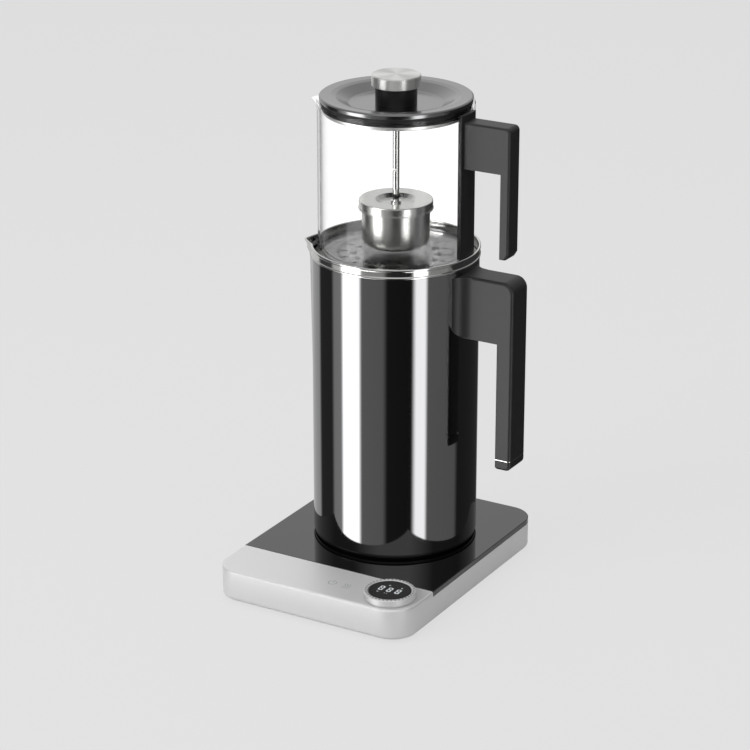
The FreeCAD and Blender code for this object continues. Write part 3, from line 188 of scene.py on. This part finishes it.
canopy = add(tree, "ShaderNodeValToRGB", {0: share}, [((a + 180) / 360, v) for a, v in CANOPY])
zenith = add(tree, "ShaderNodeMapRange", {"Value": upwards, **CANOPY_TO_ZENITH}).outputs[0]
overhead = add(tree, "ShaderNodeMix", {
    0: zenith, 6: canopy.outputs["Color"], 7: grey(ZENITH)}, data_type="RGBA").outputs[2]
raised = add(tree, "ShaderNodeMapRange", {"Value": upwards, **BANDS_TO_CANOPY}).outputs[0]
mirrored = add(tree, "ShaderNodeMix", {0: raised, 6: bright_bands, 7: overhead}, data_type="RGBA").outputs[2]


def ray_tests(tree):
    """Tests for straight looks, for looks through clear glass alone, and for looks by way of a mirror."""
    path = add(tree, "ShaderNodeLightPath").outputs
    by_mirror = add(tree, "ShaderNodeMath", {0: path["Glossy Depth"], 1: 0.5}, operation="GREATER_THAN")
    bounces = add(tree, "ShaderNodeMath", {
        0: path["Glossy Depth"], 1: path["Diffuse Depth"]}, operation="ADD")
    unbounced = add(tree, "ShaderNodeMath", {0: bounces.outputs[0], 1: 0.5}, operation="LESS_THAN")
    through = add(tree, "ShaderNodeMath", {
        0: path["Is Transmission Ray"], 1: unbounced.outputs[0]}, operation="MULTIPLY")
    return path["Is Camera Ray"], through.outputs[0], by_mirror.outputs[0]


# Later tests overrule earlier ones
straight, through, by_mirror = ray_tests(tree)
lit = add(tree, "ShaderNodeBackground", {"Color": grey(AMBIENT)}).outputs[0]
for test, light in ((by_mirror, mirrored), (through, grey(THROUGH_GLASS)), (straight, grey(BACKDROP))):
    above = add(tree, "ShaderNodeBackground", {"Color": light}).outputs[0]
    lit = add(tree, "ShaderNodeMixShader", {0: test, 1: lit, 2: above}).outputs[0]
add(tree, "ShaderNodeOutputWorld", {"Surface": lit})
print("world bands", len(BANDS), "canopy stops", len(CANOPY))

# %% [markdown]
# ## Floor
# The floor reads as the backdrop's grey with a faint shadow, so most of what the camera sees of it is
# plain light and the rest is lit paper. Mirror rays pass it and find the studio, as on a glass table, but
# the base's own sides, which stand close above it, mirror the paper.

# %% Floor
FLOOR_SIZE = 14           # metres, well past what the camera sees
FLOOR_PLAIN = 0.86        # how much of the floor's tone doesn't depend on the lamps
FLOOR_TONE = 0.79         # linear; a little over the backdrop, to make up for the paper's shadow
FLOOR_NEAR = 0.082        # the base's own sides mirror the paper this close, in metres


def paper_material():
    material = bpy.data.materials.new("backdrop_paper")
    material.use_nodes = True
    tree = material.node_tree
    tree.nodes.clear()
    straight, through, by_mirror = ray_tests(tree)
    reach = add(tree, "ShaderNodeLightPath").outputs["Ray Length"]
    paper = add(tree, "ShaderNodeBsdfDiffuse", {"Color": colour("D2D2D2")})
    plain = add(tree, "ShaderNodeEmission", {"Color": grey(FLOOR_TONE)})
    white = add(tree, "ShaderNodeEmission", {"Color": grey(1), "Strength": THROUGH_GLASS})
    clear = add(tree, "ShaderNodeBsdfTransparent")
    mixed = add(tree, "ShaderNodeMixShader", {0: FLOOR_PLAIN, 1: paper.outputs[0], 2: plain.outputs[0]})
    close = add(tree, "ShaderNodeMath", {0: reach, 1: FLOOR_NEAR}, operation="LESS_THAN")
    mirror_floor = add(tree, "ShaderNodeMixShader", {
        0: close.outputs[0], 1: clear.outputs[0], 2: paper.outputs[0]})
    seen = paper.outputs[0]
    for test, shader in ((by_mirror, mirror_floor), (through, white), (straight, mixed)):
        seen = add(tree, "ShaderNodeMixShader", {0: test, 1: seen, 2: shader.outputs[0]}).outputs[0]
    add(tree, "ShaderNodeOutputMaterial", {"Surface": seen})
    return material


def new_object(name, mesh, material):
    piece = bpy.data.objects.new(name, mesh)
    bpy.context.scene.collection.objects.link(piece)
    mesh.materials.append(material)
    return piece


half = FLOOR_SIZE / 2
floor_mesh = bpy.data.meshes.new("floor")
floor_mesh.from_pydata([(-half, -half, 0), (half, -half, 0), (half, half, 0), (-half, half, 0)], [],
                       [(0, 1, 2, 3)])
new_object("floor", floor_mesh, paper_material())
print("floor", FLOOR_SIZE, "m square")

# %% [markdown]
# ## Lamps
# Three soft area lamps: a large one at the front left lights the front faces, a very weak one on the
# right keeps the dark sides readable, and one overhead lights the panel. Mirror rays don't see them, because
# the world's bands already stand for the softboxes.

# %% Lamps
# Name, place and width in metres, and watts
LAMPS = [("key", (-0.9, -1.7, 1.35), 1.1, 23.0), ("fill", (1.8, -0.5, 0.9), 1.2, 1.0),
         ("overhead", (-0.1, 0.1, 2.1), 1.4, 12.0)]
TARGET = Vector((0, 0, 0.15))
for name, place, size, watts in LAMPS:
    lamp_data = bpy.data.lights.new(name, "AREA")
    lamp_data.size = size
    lamp_data.energy = watts
    lamp = bpy.data.objects.new(name, lamp_data)
    bpy.context.scene.collection.objects.link(lamp)
    lamp.location = place
    lamp.rotation_euler = (TARGET - Vector(place)).to_track_quat("-Z", "Y").to_euler()
    lamp.visible_glossy = False
    lamp.visible_camera = False
print("lamps", len(LAMPS))

# %% [markdown]
# ## Finishes
# Every finish starts from one helper: a Principled surface with its colour, metal share and roughness,
# plus a fine grain that breaks up the gloss a little, because no real surface is perfectly even. Grain
# sizes are real millimetres: object coordinates here are metres in the frame.

# %% A helper for surfaces
def surface(name, hex_code, metallic, roughness, grain=0.4, bump=0.02, vary=0.03, stretch=(1, 1, 1), **more):
    """A surface whose gloss and height vary by noise of the given grain in millimetres."""
    material = bpy.data.materials.new(name)
    material.use_nodes = True
    tree = material.node_tree
    shader = tree.nodes["Principled BSDF"]
    shader.inputs["Base Color"].default_value = colour(hex_code)
    shader.inputs["Metallic"].default_value = metallic
    for key, value in more.items():
        shader.inputs[key.replace("_", " ")].default_value = value
    place = add(tree, "ShaderNodeTexCoord").outputs["Object"]
    stretched = add(tree, "ShaderNodeMapping", {"Vector": place, "Scale": stretch}).outputs[0]
    noise = add(tree, "ShaderNodeTexNoise", {
        "Vector": stretched, "Scale": 1 / (grain * MM), "Detail": 3}).outputs["Fac"]
    rough = add(tree, "ShaderNodeMapRange", {
        "Value": noise, "To Min": max(roughness - vary, 0.0), "To Max": roughness + vary}).outputs[0]
    tree.links.new(rough, shader.inputs["Roughness"])
    height = add(tree, "ShaderNodeBump", {"Height": noise, "Strength": bump, "Distance": grain * MM / 4})
    tree.links.new(height.outputs[0], shader.inputs["Normal"])
    return material


# %% [markdown]
# The base is cast aluminium, fine-blasted and clear anodised: a bright satin metal whose grain is too
# fine to see, so its blur is in the roughness. Bare metal has a metallic share of 1. Here it is under half,
# because the photograph's panel is lit evenly and mirrors little. The plate is tempered glass,
# black underneath. Its IOR is set above the usual 1.52 of glass, for the strength of its mirror.

# %% Base finishes
blasted_aluminium = surface("blasted_anodised_aluminium", "E8E8E8", 0.42, 0.42, grain=0.25, bump=0.05)
machined_aluminium = surface("turned_aluminium", "E2E2E2", 0.45, 0.42, grain=0.15, bump=0.04)
black_glass = surface("back_painted_tempered_glass", "060606", 0.0, 0.015, grain=40, bump=0.0, vary=0.01,
                      IOR=1.75)
display_glass = surface("display_window_glass", "090909", 0.0, 0.10, grain=20, bump=0.0, vary=0.02)
print("base finishes made")

# %% [markdown]
# The kettle is stainless steel with a dark mirror coating. A metal's colour is the tint of its
# reflection, so a dark grey metallic colour gives dim, crisp mirror images. The rim and rods are the same
# steel left bright, with a trace of polishing haze. The pressed steam lid is duller, the skirt is satin,
# and the knob's cap is brushed in circles, so its gloss is spread across the grooves and not along them.

# %% Steel finishes
dark_steel = surface("dark_coated_mirror_steel", "8F8F90", 1.0, 0.065, grain=60, bump=0.0, vary=0.01)
lid_steel = surface("dark_coated_satin_steel", "8E8E8F", 1.0, 0.18, grain=30, bump=0.0, vary=0.03)
bright_steel = surface("polished_stainless_steel", "DADAD8", 1.0, 0.10, grain=8, bump=0.01, vary=0.03)
steam_steel = surface("pressed_stainless_steel", "959594", 1.0, 0.20, grain=12, bump=0.01, vary=0.03)
spun_steel = surface("brushed_stainless_steel", "CFCFCC", 1.0, 0.24, grain=0.5, bump=0.10, vary=0.06,
                     stretch=(1, 1, 12))
knob_steel = surface("circularly_brushed_steel", "F6F6F4", 1.0, 0.42, grain=0.6, bump=0.02, vary=0.03,
                     Anisotropic=0.97, Anisotropic_Rotation=0.25)
satin_steel = surface("satin_stainless_steel", "EFEFED", 1.0, 0.36, grain=1.5, bump=0.02, vary=0.04)
tangent = add(knob_steel.node_tree, "ShaderNodeTangent", direction_type="RADIAL", axis="Z")
knob_steel.node_tree.links.new(tangent.outputs[0],
                               knob_steel.node_tree.nodes["Principled BSDF"].inputs["Tangent"])
print("steel finishes made")

# %% [markdown]
# Handles are moulded polypropylene with a fine spark-eroded texture: dark, matt, and lighter only where
# a softbox grazes it. The pan under the kettle is nylon, left glossy by its polished mould.

# %% Plastic and rubber finishes
handle_plastic = surface("spark_textured_polypropylene", "232323", 0.0, 0.44, grain=0.35, bump=0.12,
                         vary=0.05)
pan_plastic = surface("gloss_moulded_nylon", "0C0C0C", 0.0, 0.22, grain=2, bump=0.01)
silicone = surface("black_silicone_rubber", "0A0A0A", 0.0, 0.55, grain=0.8, bump=0.05)
neck_plastic = surface("satin_phenolic_plastic", "141414", 0.0, 0.30, grain=0.6, bump=0.03)
print("plastic and rubber finishes made")

# %% [markdown]
# The teapot is borosilicate glass, blown thin, whose IOR is 1.47. A thin wall bends light back as it
# leaves, and the photograph shows nothing bent behind it. So this is a simplification: an IOR near 1, with
# the mirror share in a coat of 1.47. Real glass would bend the edges more, and so reads darker where the eye
# looks along the wall. Here that darkening is painted shade: facing darkens the glass's colour there, once
# at each of the surfaces a look passes.

# %% Glass finish
def clear_glass():
    material = bpy.data.materials.new("blown_borosilicate_glass")
    material.use_nodes = True
    tree = material.node_tree
    shader = tree.nodes["Principled BSDF"]
    shader.inputs["Roughness"].default_value = 0.0
    shader.inputs["IOR"].default_value = 1.01
    shader.inputs["Coat Weight"].default_value = 0.35
    shader.inputs["Coat Roughness"].default_value = 0.0
    shader.inputs["Coat IOR"].default_value = 1.47
    shader.inputs["Transmission Weight"].default_value = 1.0
    # Painted shade: the glass's colour darkens where the eye looks along the wall, in place of the dark edges
    # that bending gives real glass.
    facing = add(tree, "ShaderNodeLayerWeight", {"Blend": 0.5}).outputs["Facing"]
    painted_edge_shade = add(tree, "ShaderNodeValToRGB", {0: facing}, [
        (0.0, 1.0), (0.52, 1.0), (0.64, 0.94), (0.72, 0.80), (0.80, 0.52), (1.0, 0.3)])
    tree.links.new(painted_edge_shade.outputs["Color"], shader.inputs["Base Color"])
    return material


borosilicate = clear_glass()
print("glass", borosilicate.name)

# %% [markdown]
# The pieces inside are seldom seen, but each still gets what it is made of: green solder mask on the
# boards, plated screws, brass contacts, cast aluminium under the kettle's floor.

# %% Hidden finishes
zinc = surface("zinc_plated_steel", "B9BABB", 1.0, 0.32, grain=0.6)
brass = surface("stamped_brass", "C9A24F", 1.0, 0.25, grain=0.5)
cast = surface("cast_aluminium", "B4B4B4", 0.9, 0.5, grain=1.2, bump=0.1)
sheath = surface("drawn_steel_sheath", "8A857C", 1.0, 0.35, grain=0.8)
solder_mask = surface("green_solder_mask", "1F5A33", 0.0, 0.35, grain=1.5)
# This black is real epoxy on the hidden parts, and painted shade on the dial's notch bars.
resin_and_notch_shade = surface("black_epoxy_and_notch_shade", "17181A", 0.0, 0.5, grain=0.5, bump=0.08)
FINISH_OF_SLOT = {
    "silver_aluminium": blasted_aluminium, "black_glass": black_glass, "dark_steel": dark_steel,
    "bright_steel": bright_steel, "brushed_steel": spun_steel, "clear_glass": borosilicate,
    "handle_plastic": handle_plastic, "black_plastic": pan_plastic, "rubber": silicone, "fixings": zinc,
    "heater_metal": cast, "element_sheath": sheath, "contacts": brass, "circuit_board": solder_mask,
    "components": resin_and_notch_shade}
SLOT_OF_NODE = {entry["node"]: entry["material_slot"] for entry in frame["record"]["subparts"]}
for name, node in nodes.items():
    node.data.materials.clear()
    node.data.materials.append(FINISH_OF_SLOT[SLOT_OF_NODE[name]])
nodes["lid_plate"].data.materials[0] = lid_steel
nodes["knob_neck"].data.materials[0] = neck_plastic
nodes["knob_cap"].data.materials[0] = knob_steel
nodes["display_lens"].data.materials[0] = display_glass
nodes["steam_plate"].data.materials[0] = steam_steel
print("finishes on", len(nodes), "nodes")

# %% [markdown]
# ## Turned pieces
# A mirror shows the facets of a coarse mesh as broken streaks, so the round pieces are turned again
# here, with 256 steps round and small arcs at their corners. A corner is given with its radius, and one
# function works out the arc. A pouring lip is a smooth bulge of the same rings towards one side.

# %% Lathe
STEPS = 256
ARC_STEPS = 5
ON_AXIS = 1e-4                        # mm; a corner this near the axis is on it
ROOM = 2.01                           # an arc takes a little under half of each side of its corner
LIP_ANGLE = math.radians(180 + 20)    # away from the handle, and 20 degrees to the front


def rounded(corners):
    """Corners as (radius, height, rounding) in millimetres, with each rounding made an arc."""
    points = []
    count = len(corners)
    for index, (r, z, rounding) in enumerate(corners):
        here = Vector((r, z))
        before = Vector(corners[index - 1][:2])
        after = Vector(corners[(index + 1) % count][:2])
        if rounding <= 0:
            points.append(here)
            continue
        a, b = (before - here).normalized(), (after - here).normalized()
        half_turn = a.angle(b) / 2
        sides = (before - here).length, (after - here).length
        reach = min(rounding / math.tan(half_turn), sides[0] / ROOM, sides[1] / ROOM)
        radius = reach * math.tan(half_turn)
        centre = here + (a + b).normalized() * radius / math.sin(half_turn)
        start = (here + a * reach - centre).normalized()
        end = (here + b * reach - centre).normalized()
        for step in range(ARC_STEPS + 1):
            points.append(centre + start.slerp(end, step / ARC_STEPS) * radius)
    return points


def finished(mesh_data, name, material, body, sharp=35):
    """Close a made mesh: smooth but for edges over an angle, riding its body, with its slot."""
    bmesh.ops.recalc_face_normals(mesh_data, faces=mesh_data.faces)
    mesh = bpy.data.meshes.new(name)
    mesh_data.to_mesh(mesh)
    mesh_data.free()
    mesh.polygons.foreach_set("use_smooth", [True] * len(mesh.polygons))
    mesh.set_sharp_from_angle(angle=math.radians(sharp))
    piece = new_object(name, mesh, material)
    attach(piece, body)
    print(name, "faces", len(mesh.polygons))
    return piece


def lathe(name, corners, material, body, replaced, centre=AXIS, lip=None):
    """Turn a closed outline about an axis. Corners on the axis close the piece there."""
    outline = rounded(corners)
    mesh_data = bmesh.new()
    rings = []
    for point in outline:
        if point.x < ON_AXIS:
            rings.append([mesh_data.verts.new((centre.x, centre.y, up(point.y)))] * STEPS)
            continue
        ring = []
        for step in range(STEPS):
            turn = 2 * math.pi * step / STEPS
            radius = point.x + (lip(turn, point.x, point.y) if lip else 0)
            ring.append(mesh_data.verts.new((centre.x + radius * MM * math.cos(turn),
                                             centre.y + radius * MM * math.sin(turn), up(point.y))))
        rings.append(ring)
    for lower, upper in zip(rings, rings[1:] + rings[:1]):
        for step in range(STEPS):
            following = (step + 1) % STEPS
            corners_of_face = [lower[step], lower[following], upper[following], upper[step]]
            face = list(dict.fromkeys(corners_of_face))
            if len(face) > 2:
                mesh_data.faces.new(face)
    piece = finished(mesh_data, name, material, body, sharp=40)
    piece.modifiers.new("even_normals", "WEIGHTED_NORMAL").keep_sharp = True
    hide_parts(*replaced)
    return piece


LIP_DEPTH = 6                         # mm inwards from the wall's outside that still bends with it
LIP_SWELL, LIP_POINT = 1.3, 1.15      # over 1, so the bulge starts gently and ends in a point


def pouring_lip(tip, top, drop, half_angle, radius):
    """A V-shaped bulge of a wall, full at its top and gone a drop lower, in millimetres."""
    def bulge(turn, r, z):
        off = abs((turn - LIP_ANGLE + math.pi) % (2 * math.pi) - math.pi) / half_angle
        if off >= 1 or r < radius - LIP_DEPTH:
            return 0.0
        rise = min(max((z - (top - drop)) / drop, 0.0), 1.0)
        return (tip - radius) * rise ** LIP_SWELL * (1 - off) ** LIP_POINT
    return bulge


print("turned pieces have", STEPS, "steps round")

# %% [markdown]
# The kettle's wall is drawn steel a millimetre thick with a floor set up inside it. Its own wall swells
# into the spout under the rim, so body and spout are one smooth skin here.

# %% Kettle body and rim
SPOUT = pouring_lip(tip=71.6, top=240, drop=27, half_angle=math.radians(12.5), radius=65)
WALL_STEPS = 12


def climb(radius, low, high):
    """Plain points up a wall, so that a lip has rings to bend."""
    return [(radius, low + (high - low) * step / WALL_STEPS, 0) for step in range(WALL_STEPS + 1)]


def descend(radius, high, low):
    return climb(radius, low, high)[::-1]


lathe("kettle_skin", [(0, 16, 0), (64, 16, 0.3), (64, 4, 0.3), (65, 4, 0.5)]
      + climb(65, 205, 232) + descend(64, 232, 231) + [(64, 17.2, 2.0), (0, 17.2, 0)],
      dark_steel, "kettle", ["kettle_body", "kettle_spout"], lip=SPOUT)
lathe("rolled_rim", [(64, 232, 0.2), (65.7, 232, 0.5), (65.8, 233.3, 0.5), (65.2, 233.9, 0.4),
                     (65.2, 237.7, 0.4), (65.8, 238.3, 0.5), (65.8, 240, 0.8), (64, 240, 0.8)],
      bright_steel, "kettle", ["kettle_rim"], lip=SPOUT)
lathe("foot_pan", [(21, 1, 0.2), (58.5, 1, 0.2), (58.5, 0, 0.3), (61.5, 0, 0.3), (61.5, 1.2, 0.2),
                   (64.2, 1.2, 0.7), (64.3, 3.6, 0.9), (63.4, 3.9, 0.1), (63.4, 9, 0.2), (61.5, 9, 0.2),
                   (61.5, 3, 0.5), (21, 3, 0.3)],
      pan_plastic, "kettle", ["kettle_foot_pan"])

# %% [markdown]
# The teapot's wall is one closed glass solid: outside, over the rounded rim, down the inside. The small
# lip bends both faces alike, so the wall stays even there.

# %% Teapot glass
POT_LIP = pouring_lip(tip=66.2, top=353, drop=11, half_angle=math.radians(9), radius=60.2)
lathe("glass_pot", [(0, 233.5, 0), (60.2, 233.5, 7.5)] + climb(60.2, 342, 351.8)
      + [(60.2, 353, 1.1), (57.8, 353, 1.1)] + descend(57.8, 351.8, 342)
      + [(57.8, 236.5, 5.0), (0, 236.5, 0)],
      borosilicate, "teapot", ["pot_glass"], lip=POT_LIP)

# %% [markdown]
# The lid is a pressed dish in dark steel with a rolled edge, closed below by a satin skirt ring. The
# knob's cap is turned and brushed in circles, which gives the crossed light and dark wedges on its top.

# %% Lid and knob
lathe("pressed_lid", [(2, 350.8, 0), (36.6, 350.8, 3), (46.6, 356.0, 2), (50.4, 356.8, 1), (57.5, 356.9, 0.4),
                      (57.5, 354.4, 0.2), (58.6, 354.4, 0.5), (58.8, 357.4, 0.7), (57.6, 358.3, 0.7),
                      (50, 358.0, 2), (46, 357.2, 3), (36, 352.0, 4), (2, 352, 0)],
      lid_steel, "pot_lid", ["lid_plate"])
lathe("skirt_ring", [(52.8, 345, 0.3), (56.0, 345, 0.9), (56.0, 347.6, 0.3), (55.6, 348.0, 0.3),
                     (55.6, 349.6, 0.3), (56.0, 350.0, 0.3), (56.0, 356.7, 0.3), (54.8, 356.7, 0.3),
                     (54.8, 346.2, 0.5), (52.8, 346.0, 0.3)],
      satin_steel, "pot_lid", ["lid_skirt"])
lathe("turned_cap", [(0, 369.4, 0), (2, 369.4, 0), (2, 365.4, 0), (18.6, 365.4, 0.3), (18.9, 365.8, 0.3),
                     (18.9, 373.4, 0.4), (18.2, 374.2, 0.3), (0, 374.3, 0)],
      knob_steel, "pot_lid", ["knob_cap"])

# %% [markdown]
# The basket is spun from thin steel. Its lid has a bead along the foot and a shallow dish round the rod.
# The cup below keeps the frame's own mesh, with its perforations.

# %% Infuser basket
lathe("spun_basket_lid", [(0, 272, 0), (12.3, 272, 1), (16.3, 275, 1), (27.9, 275, 0.2), (27.9, 268.4, 0.2),
                          (29.1, 268.4, 0.4), (29.1, 269.5, 0.4), (28.7, 269.7, 0.1), (28.7, 275.8, 0.7),
                          (16, 275.8, 1.5), (12, 272.8, 2), (0, 272.8, 0)],
      spun_steel, "infuser", ["infuser_lid"])

# %% [markdown]
# ## The handle's root
# The moulded arm widens into the kettle with a hollow curve on both sides. Each is a small solid between
# the kettle's wall, the arm's side and an arc that touches both, and its foot sweeps up to the wall.

# %% Handle root
ARM_SIDE = 11.5                       # mm from the middle, just inside the arm
MID_WALL = 64.5                       # the middle of the kettle's wall
ARC_X, ARC_Y, ARC_RADIUS = 73.75, 25.4, 13.0
ARC_START, ARC_END = 198.9, 270       # degrees, where the arc touches the kettle and the arm
ROOT_LOW, ROOT_HIGH, ROOT_SWEEP = 178.6, 227.4, 9.0
ROOT_STEPS = 14
INSIDE_WALL = math.sqrt(MID_WALL ** 2 - ARM_SIDE ** 2)


def closed_strip(mesh_data, rows):
    """Join rows of four corners into one closed bar."""
    made = [[mesh_data.verts.new(corner) for corner in row] for row in rows]
    for first, second in zip(made, made[1:]):
        for k in range(4):
            mesh_data.faces.new((first[k], first[(k + 1) % 4], second[(k + 1) % 4], second[k]))
    mesh_data.faces.new(made[0][::-1])
    mesh_data.faces.new(made[-1])


root = bmesh.new()
for side in (1, -1):
    rows = []
    for step in range(ROOT_STEPS + 1):
        share_done = step / ROOT_STEPS
        turn = math.radians(ARC_START + (ARC_END - ARC_START) * share_done)
        x = ARC_X + ARC_RADIUS * math.cos(turn)
        y = ARC_Y + ARC_RADIUS * math.sin(turn)
        foot = ROOT_LOW + ROOT_SWEEP * (1 - math.sqrt(1 - (1 - share_done) ** 2))
        inner = max(x, INSIDE_WALL)
        rows.append([(AXIS.x + px * MM, AXIS.y + side * py * MM, up(z)) for px, py, z in (
            (x, y, foot), (x, y, ROOT_HIGH), (inner, ARM_SIDE, ROOT_HIGH), (inner, ARM_SIDE, foot))])
    closed_strip(root, rows)
finished(root, "handle_root", handle_plastic, "kettle")

# %% [markdown]
# ## The dial
# The ring is turned aluminium with a small bevel and short notches round its face. The notches, the lit
# figures and the symbols are all bars a few hundredths of a millimetre proud, which is simpler than
# cutting the notches in. The notches' bars are black: painted shade, in place of the shade inside cut
# notches.

# %% Dial ring
RING_TOP = 6.2                        # mm above the glass plate
SLEEVE_END = (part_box("dial_ring")[0].z - GLASS_TOP) / MM
lathe("turned_dial_ring", [(16.8, SLEEVE_END, 0), (18.2, SLEEVE_END, 0), (18.2, 1.35, 0.1), (20, 1.35, 0.3),
                           (20, RING_TOP - 0.7, 0.3), (19.4, RING_TOP, 0.3), (17.3, RING_TOP, 0.2),
                           (16.8, RING_TOP - 0.4, 0.1)],
      machined_aluminium, "dial", ["dial_ring"], centre=DIAL)


SUNK = 0.02                           # mm that each bar goes below its surface


def marks(name, strokes, width, place, material, body, proud=0.06):
    """Thin raised strokes, each a line of points in millimetres round a place."""
    mesh_data = bmesh.new()
    for line in strokes:
        rows = []
        for index, point in enumerate(line):
            before = Vector(line[max(index - 1, 0)])
            after = Vector(line[min(index + 1, len(line) - 1)])
            heading = (after - before).normalized()
            across = Vector((-heading.y, heading.x)) * width / 2
            one, other = Vector(point) - across, Vector(point) + across
            rows.append([(place[0] + edge.x * MM, place[1] + edge.y * MM, place[2] + z * MM)
                         for edge, z in ((one, -SUNK), (other, -SUNK), (other, proud), (one, proud))])
        closed_strip(mesh_data, rows)
    return finished(mesh_data, name, material, body)


# Painted shade: each notch is a black bar on the aluminium, dark where a real cut notch is shaded inside.
NOTCHES, NOTCH_WIDTH = 38, 0.9
NOTCH_ENDS = 17.8, 19.1               # mm from the dial's axis
notches = []
for step in range(NOTCHES):
    turn = 2 * math.pi * step / NOTCHES
    notches.append([(r * math.cos(turn), r * math.sin(turn)) for r in NOTCH_ENDS])
marks("dial_notches", notches, NOTCH_WIDTH, (DIAL.x, DIAL.y, up(RING_TOP)), resin_and_notch_shade, "dial",
      0.05)

# %% [markdown]
# The window shows three seven-bar figures, lit in a soft white, with a few small signs above and below.

# %% Lit figures
LIGHT = "C8CCCE"
lit_segments = surface("lit_display_segments", LIGHT, 0.0, 0.4, Emission_Color=colour(LIGHT),
                       Emission_Strength=0.42)
printed_ink = surface("screen_printed_ink", "9C9EA0", 0.0, 0.5)
FIGURE_PITCH, HALF_WIDE, HALF_TALL, BAR = 7.1, 1.35, 3.35, 0.9
INSET, GAP = 0.55, 0.35               # mm left free at the ends of level and upright bars
figures = []
for centre_x in (-FIGURE_PITCH, 0.0, FIGURE_PITCH):
    for y in (-HALF_TALL, 0.0, HALF_TALL):
        figures.append([(centre_x - HALF_WIDE + INSET, y), (centre_x + HALF_WIDE - INSET, y)])
    for x in (centre_x - HALF_WIDE, centre_x + HALF_WIDE):
        figures.append([(x, GAP), (x, HALF_TALL)])
        figures.append([(x, -HALF_TALL), (x, -GAP)])
window_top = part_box("display_lens")[1].z
window = (DIAL.x, DIAL.y, window_top)
marks("lit_figures", figures, BAR, window, lit_segments, "dial_carrier")
SIGN_BAR = 0.6
signs = [[(-4.4, 6.6), (-2.8, 6.6)], [(6.3, 6.6), (7.9, 6.6)], [(-7.9, -6.6), (-6.3, -6.6)],
         [(-1.2, -6.6), (-0.6, -6.6)], [(0.6, -6.6), (1.2, -6.6)]]
marks("lit_signs", signs, SIGN_BAR, window, lit_segments, "dial_carrier")

# %% [markdown]
# The two touch symbols are printed in grey on the panel: a ring with a stroke, and steam over a line.

# %% Touch symbols
PANEL_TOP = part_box("base_housing")[1].z
SYMBOL_ROW = -114.7                   # mm from the kettle's axis, towards the front
STROKE = 0.55
RING_RADIUS, RING_OPEN, RING_STEPS = 3.2, 38, 24
WAVE_STEPS, WAVE_REACH, WAVE_FOOT, WAVE_TALL = 12, 0.5, -1.6, 5.2
ring = []
for k in range(RING_STEPS + 1):
    turn = math.radians(RING_OPEN + (360 - 2 * RING_OPEN) * k / RING_STEPS)
    ring.append((RING_RADIUS * math.sin(turn), RING_RADIUS * math.cos(turn)))
power_sign = [ring, [(0, 0.6), (0, 4.4)]]
steam_sign = []
for x in (-2.0, 0.0, 2.0):
    steam_sign.append([(x + WAVE_REACH * math.sin(2 * math.pi * k / WAVE_STEPS),
                        WAVE_FOOT + k * WAVE_TALL / WAVE_STEPS) for k in range(WAVE_STEPS + 1)])
steam_sign.append([(-3.3, -3.0), (3.3, -3.0)])
for name, strokes, x in (("power_symbol", power_sign, 10.4), ("steam_symbol", steam_sign, 23.3)):
    marks(name, strokes, STROKE, (AXIS.x + x * MM, AXIS.y + SYMBOL_ROW * MM, PANEL_TOP), printed_ink, "base",
          0.03)

# %% [markdown]
# A polished kettle would mirror the whole base. In the photograph its foot shows the dark plate, and only a
# dim, soft trace of the panel and dial. This scene leaves that trace out, which a real mirror would not:
# mirror rays find the glass plate, and pass the rest of the base.

# %% What the kettle mirrors
for body in ("base", "dial_carrier", "dial"):
    for name in frame["record"]["behaviour"]["bodies"][body]:
        nodes[name].visible_glossy = name == "glass_plate"
for name in ("turned_dial_ring", "dial_notches", "lit_figures", "lit_signs", "power_symbol", "steam_symbol"):
    bpy.data.objects[name].visible_glossy = False
print("the kettle mirrors the plate alone")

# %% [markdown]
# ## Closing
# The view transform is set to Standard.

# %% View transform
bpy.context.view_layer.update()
scene = bpy.context.scene
scene.view_settings.view_transform = "Standard"
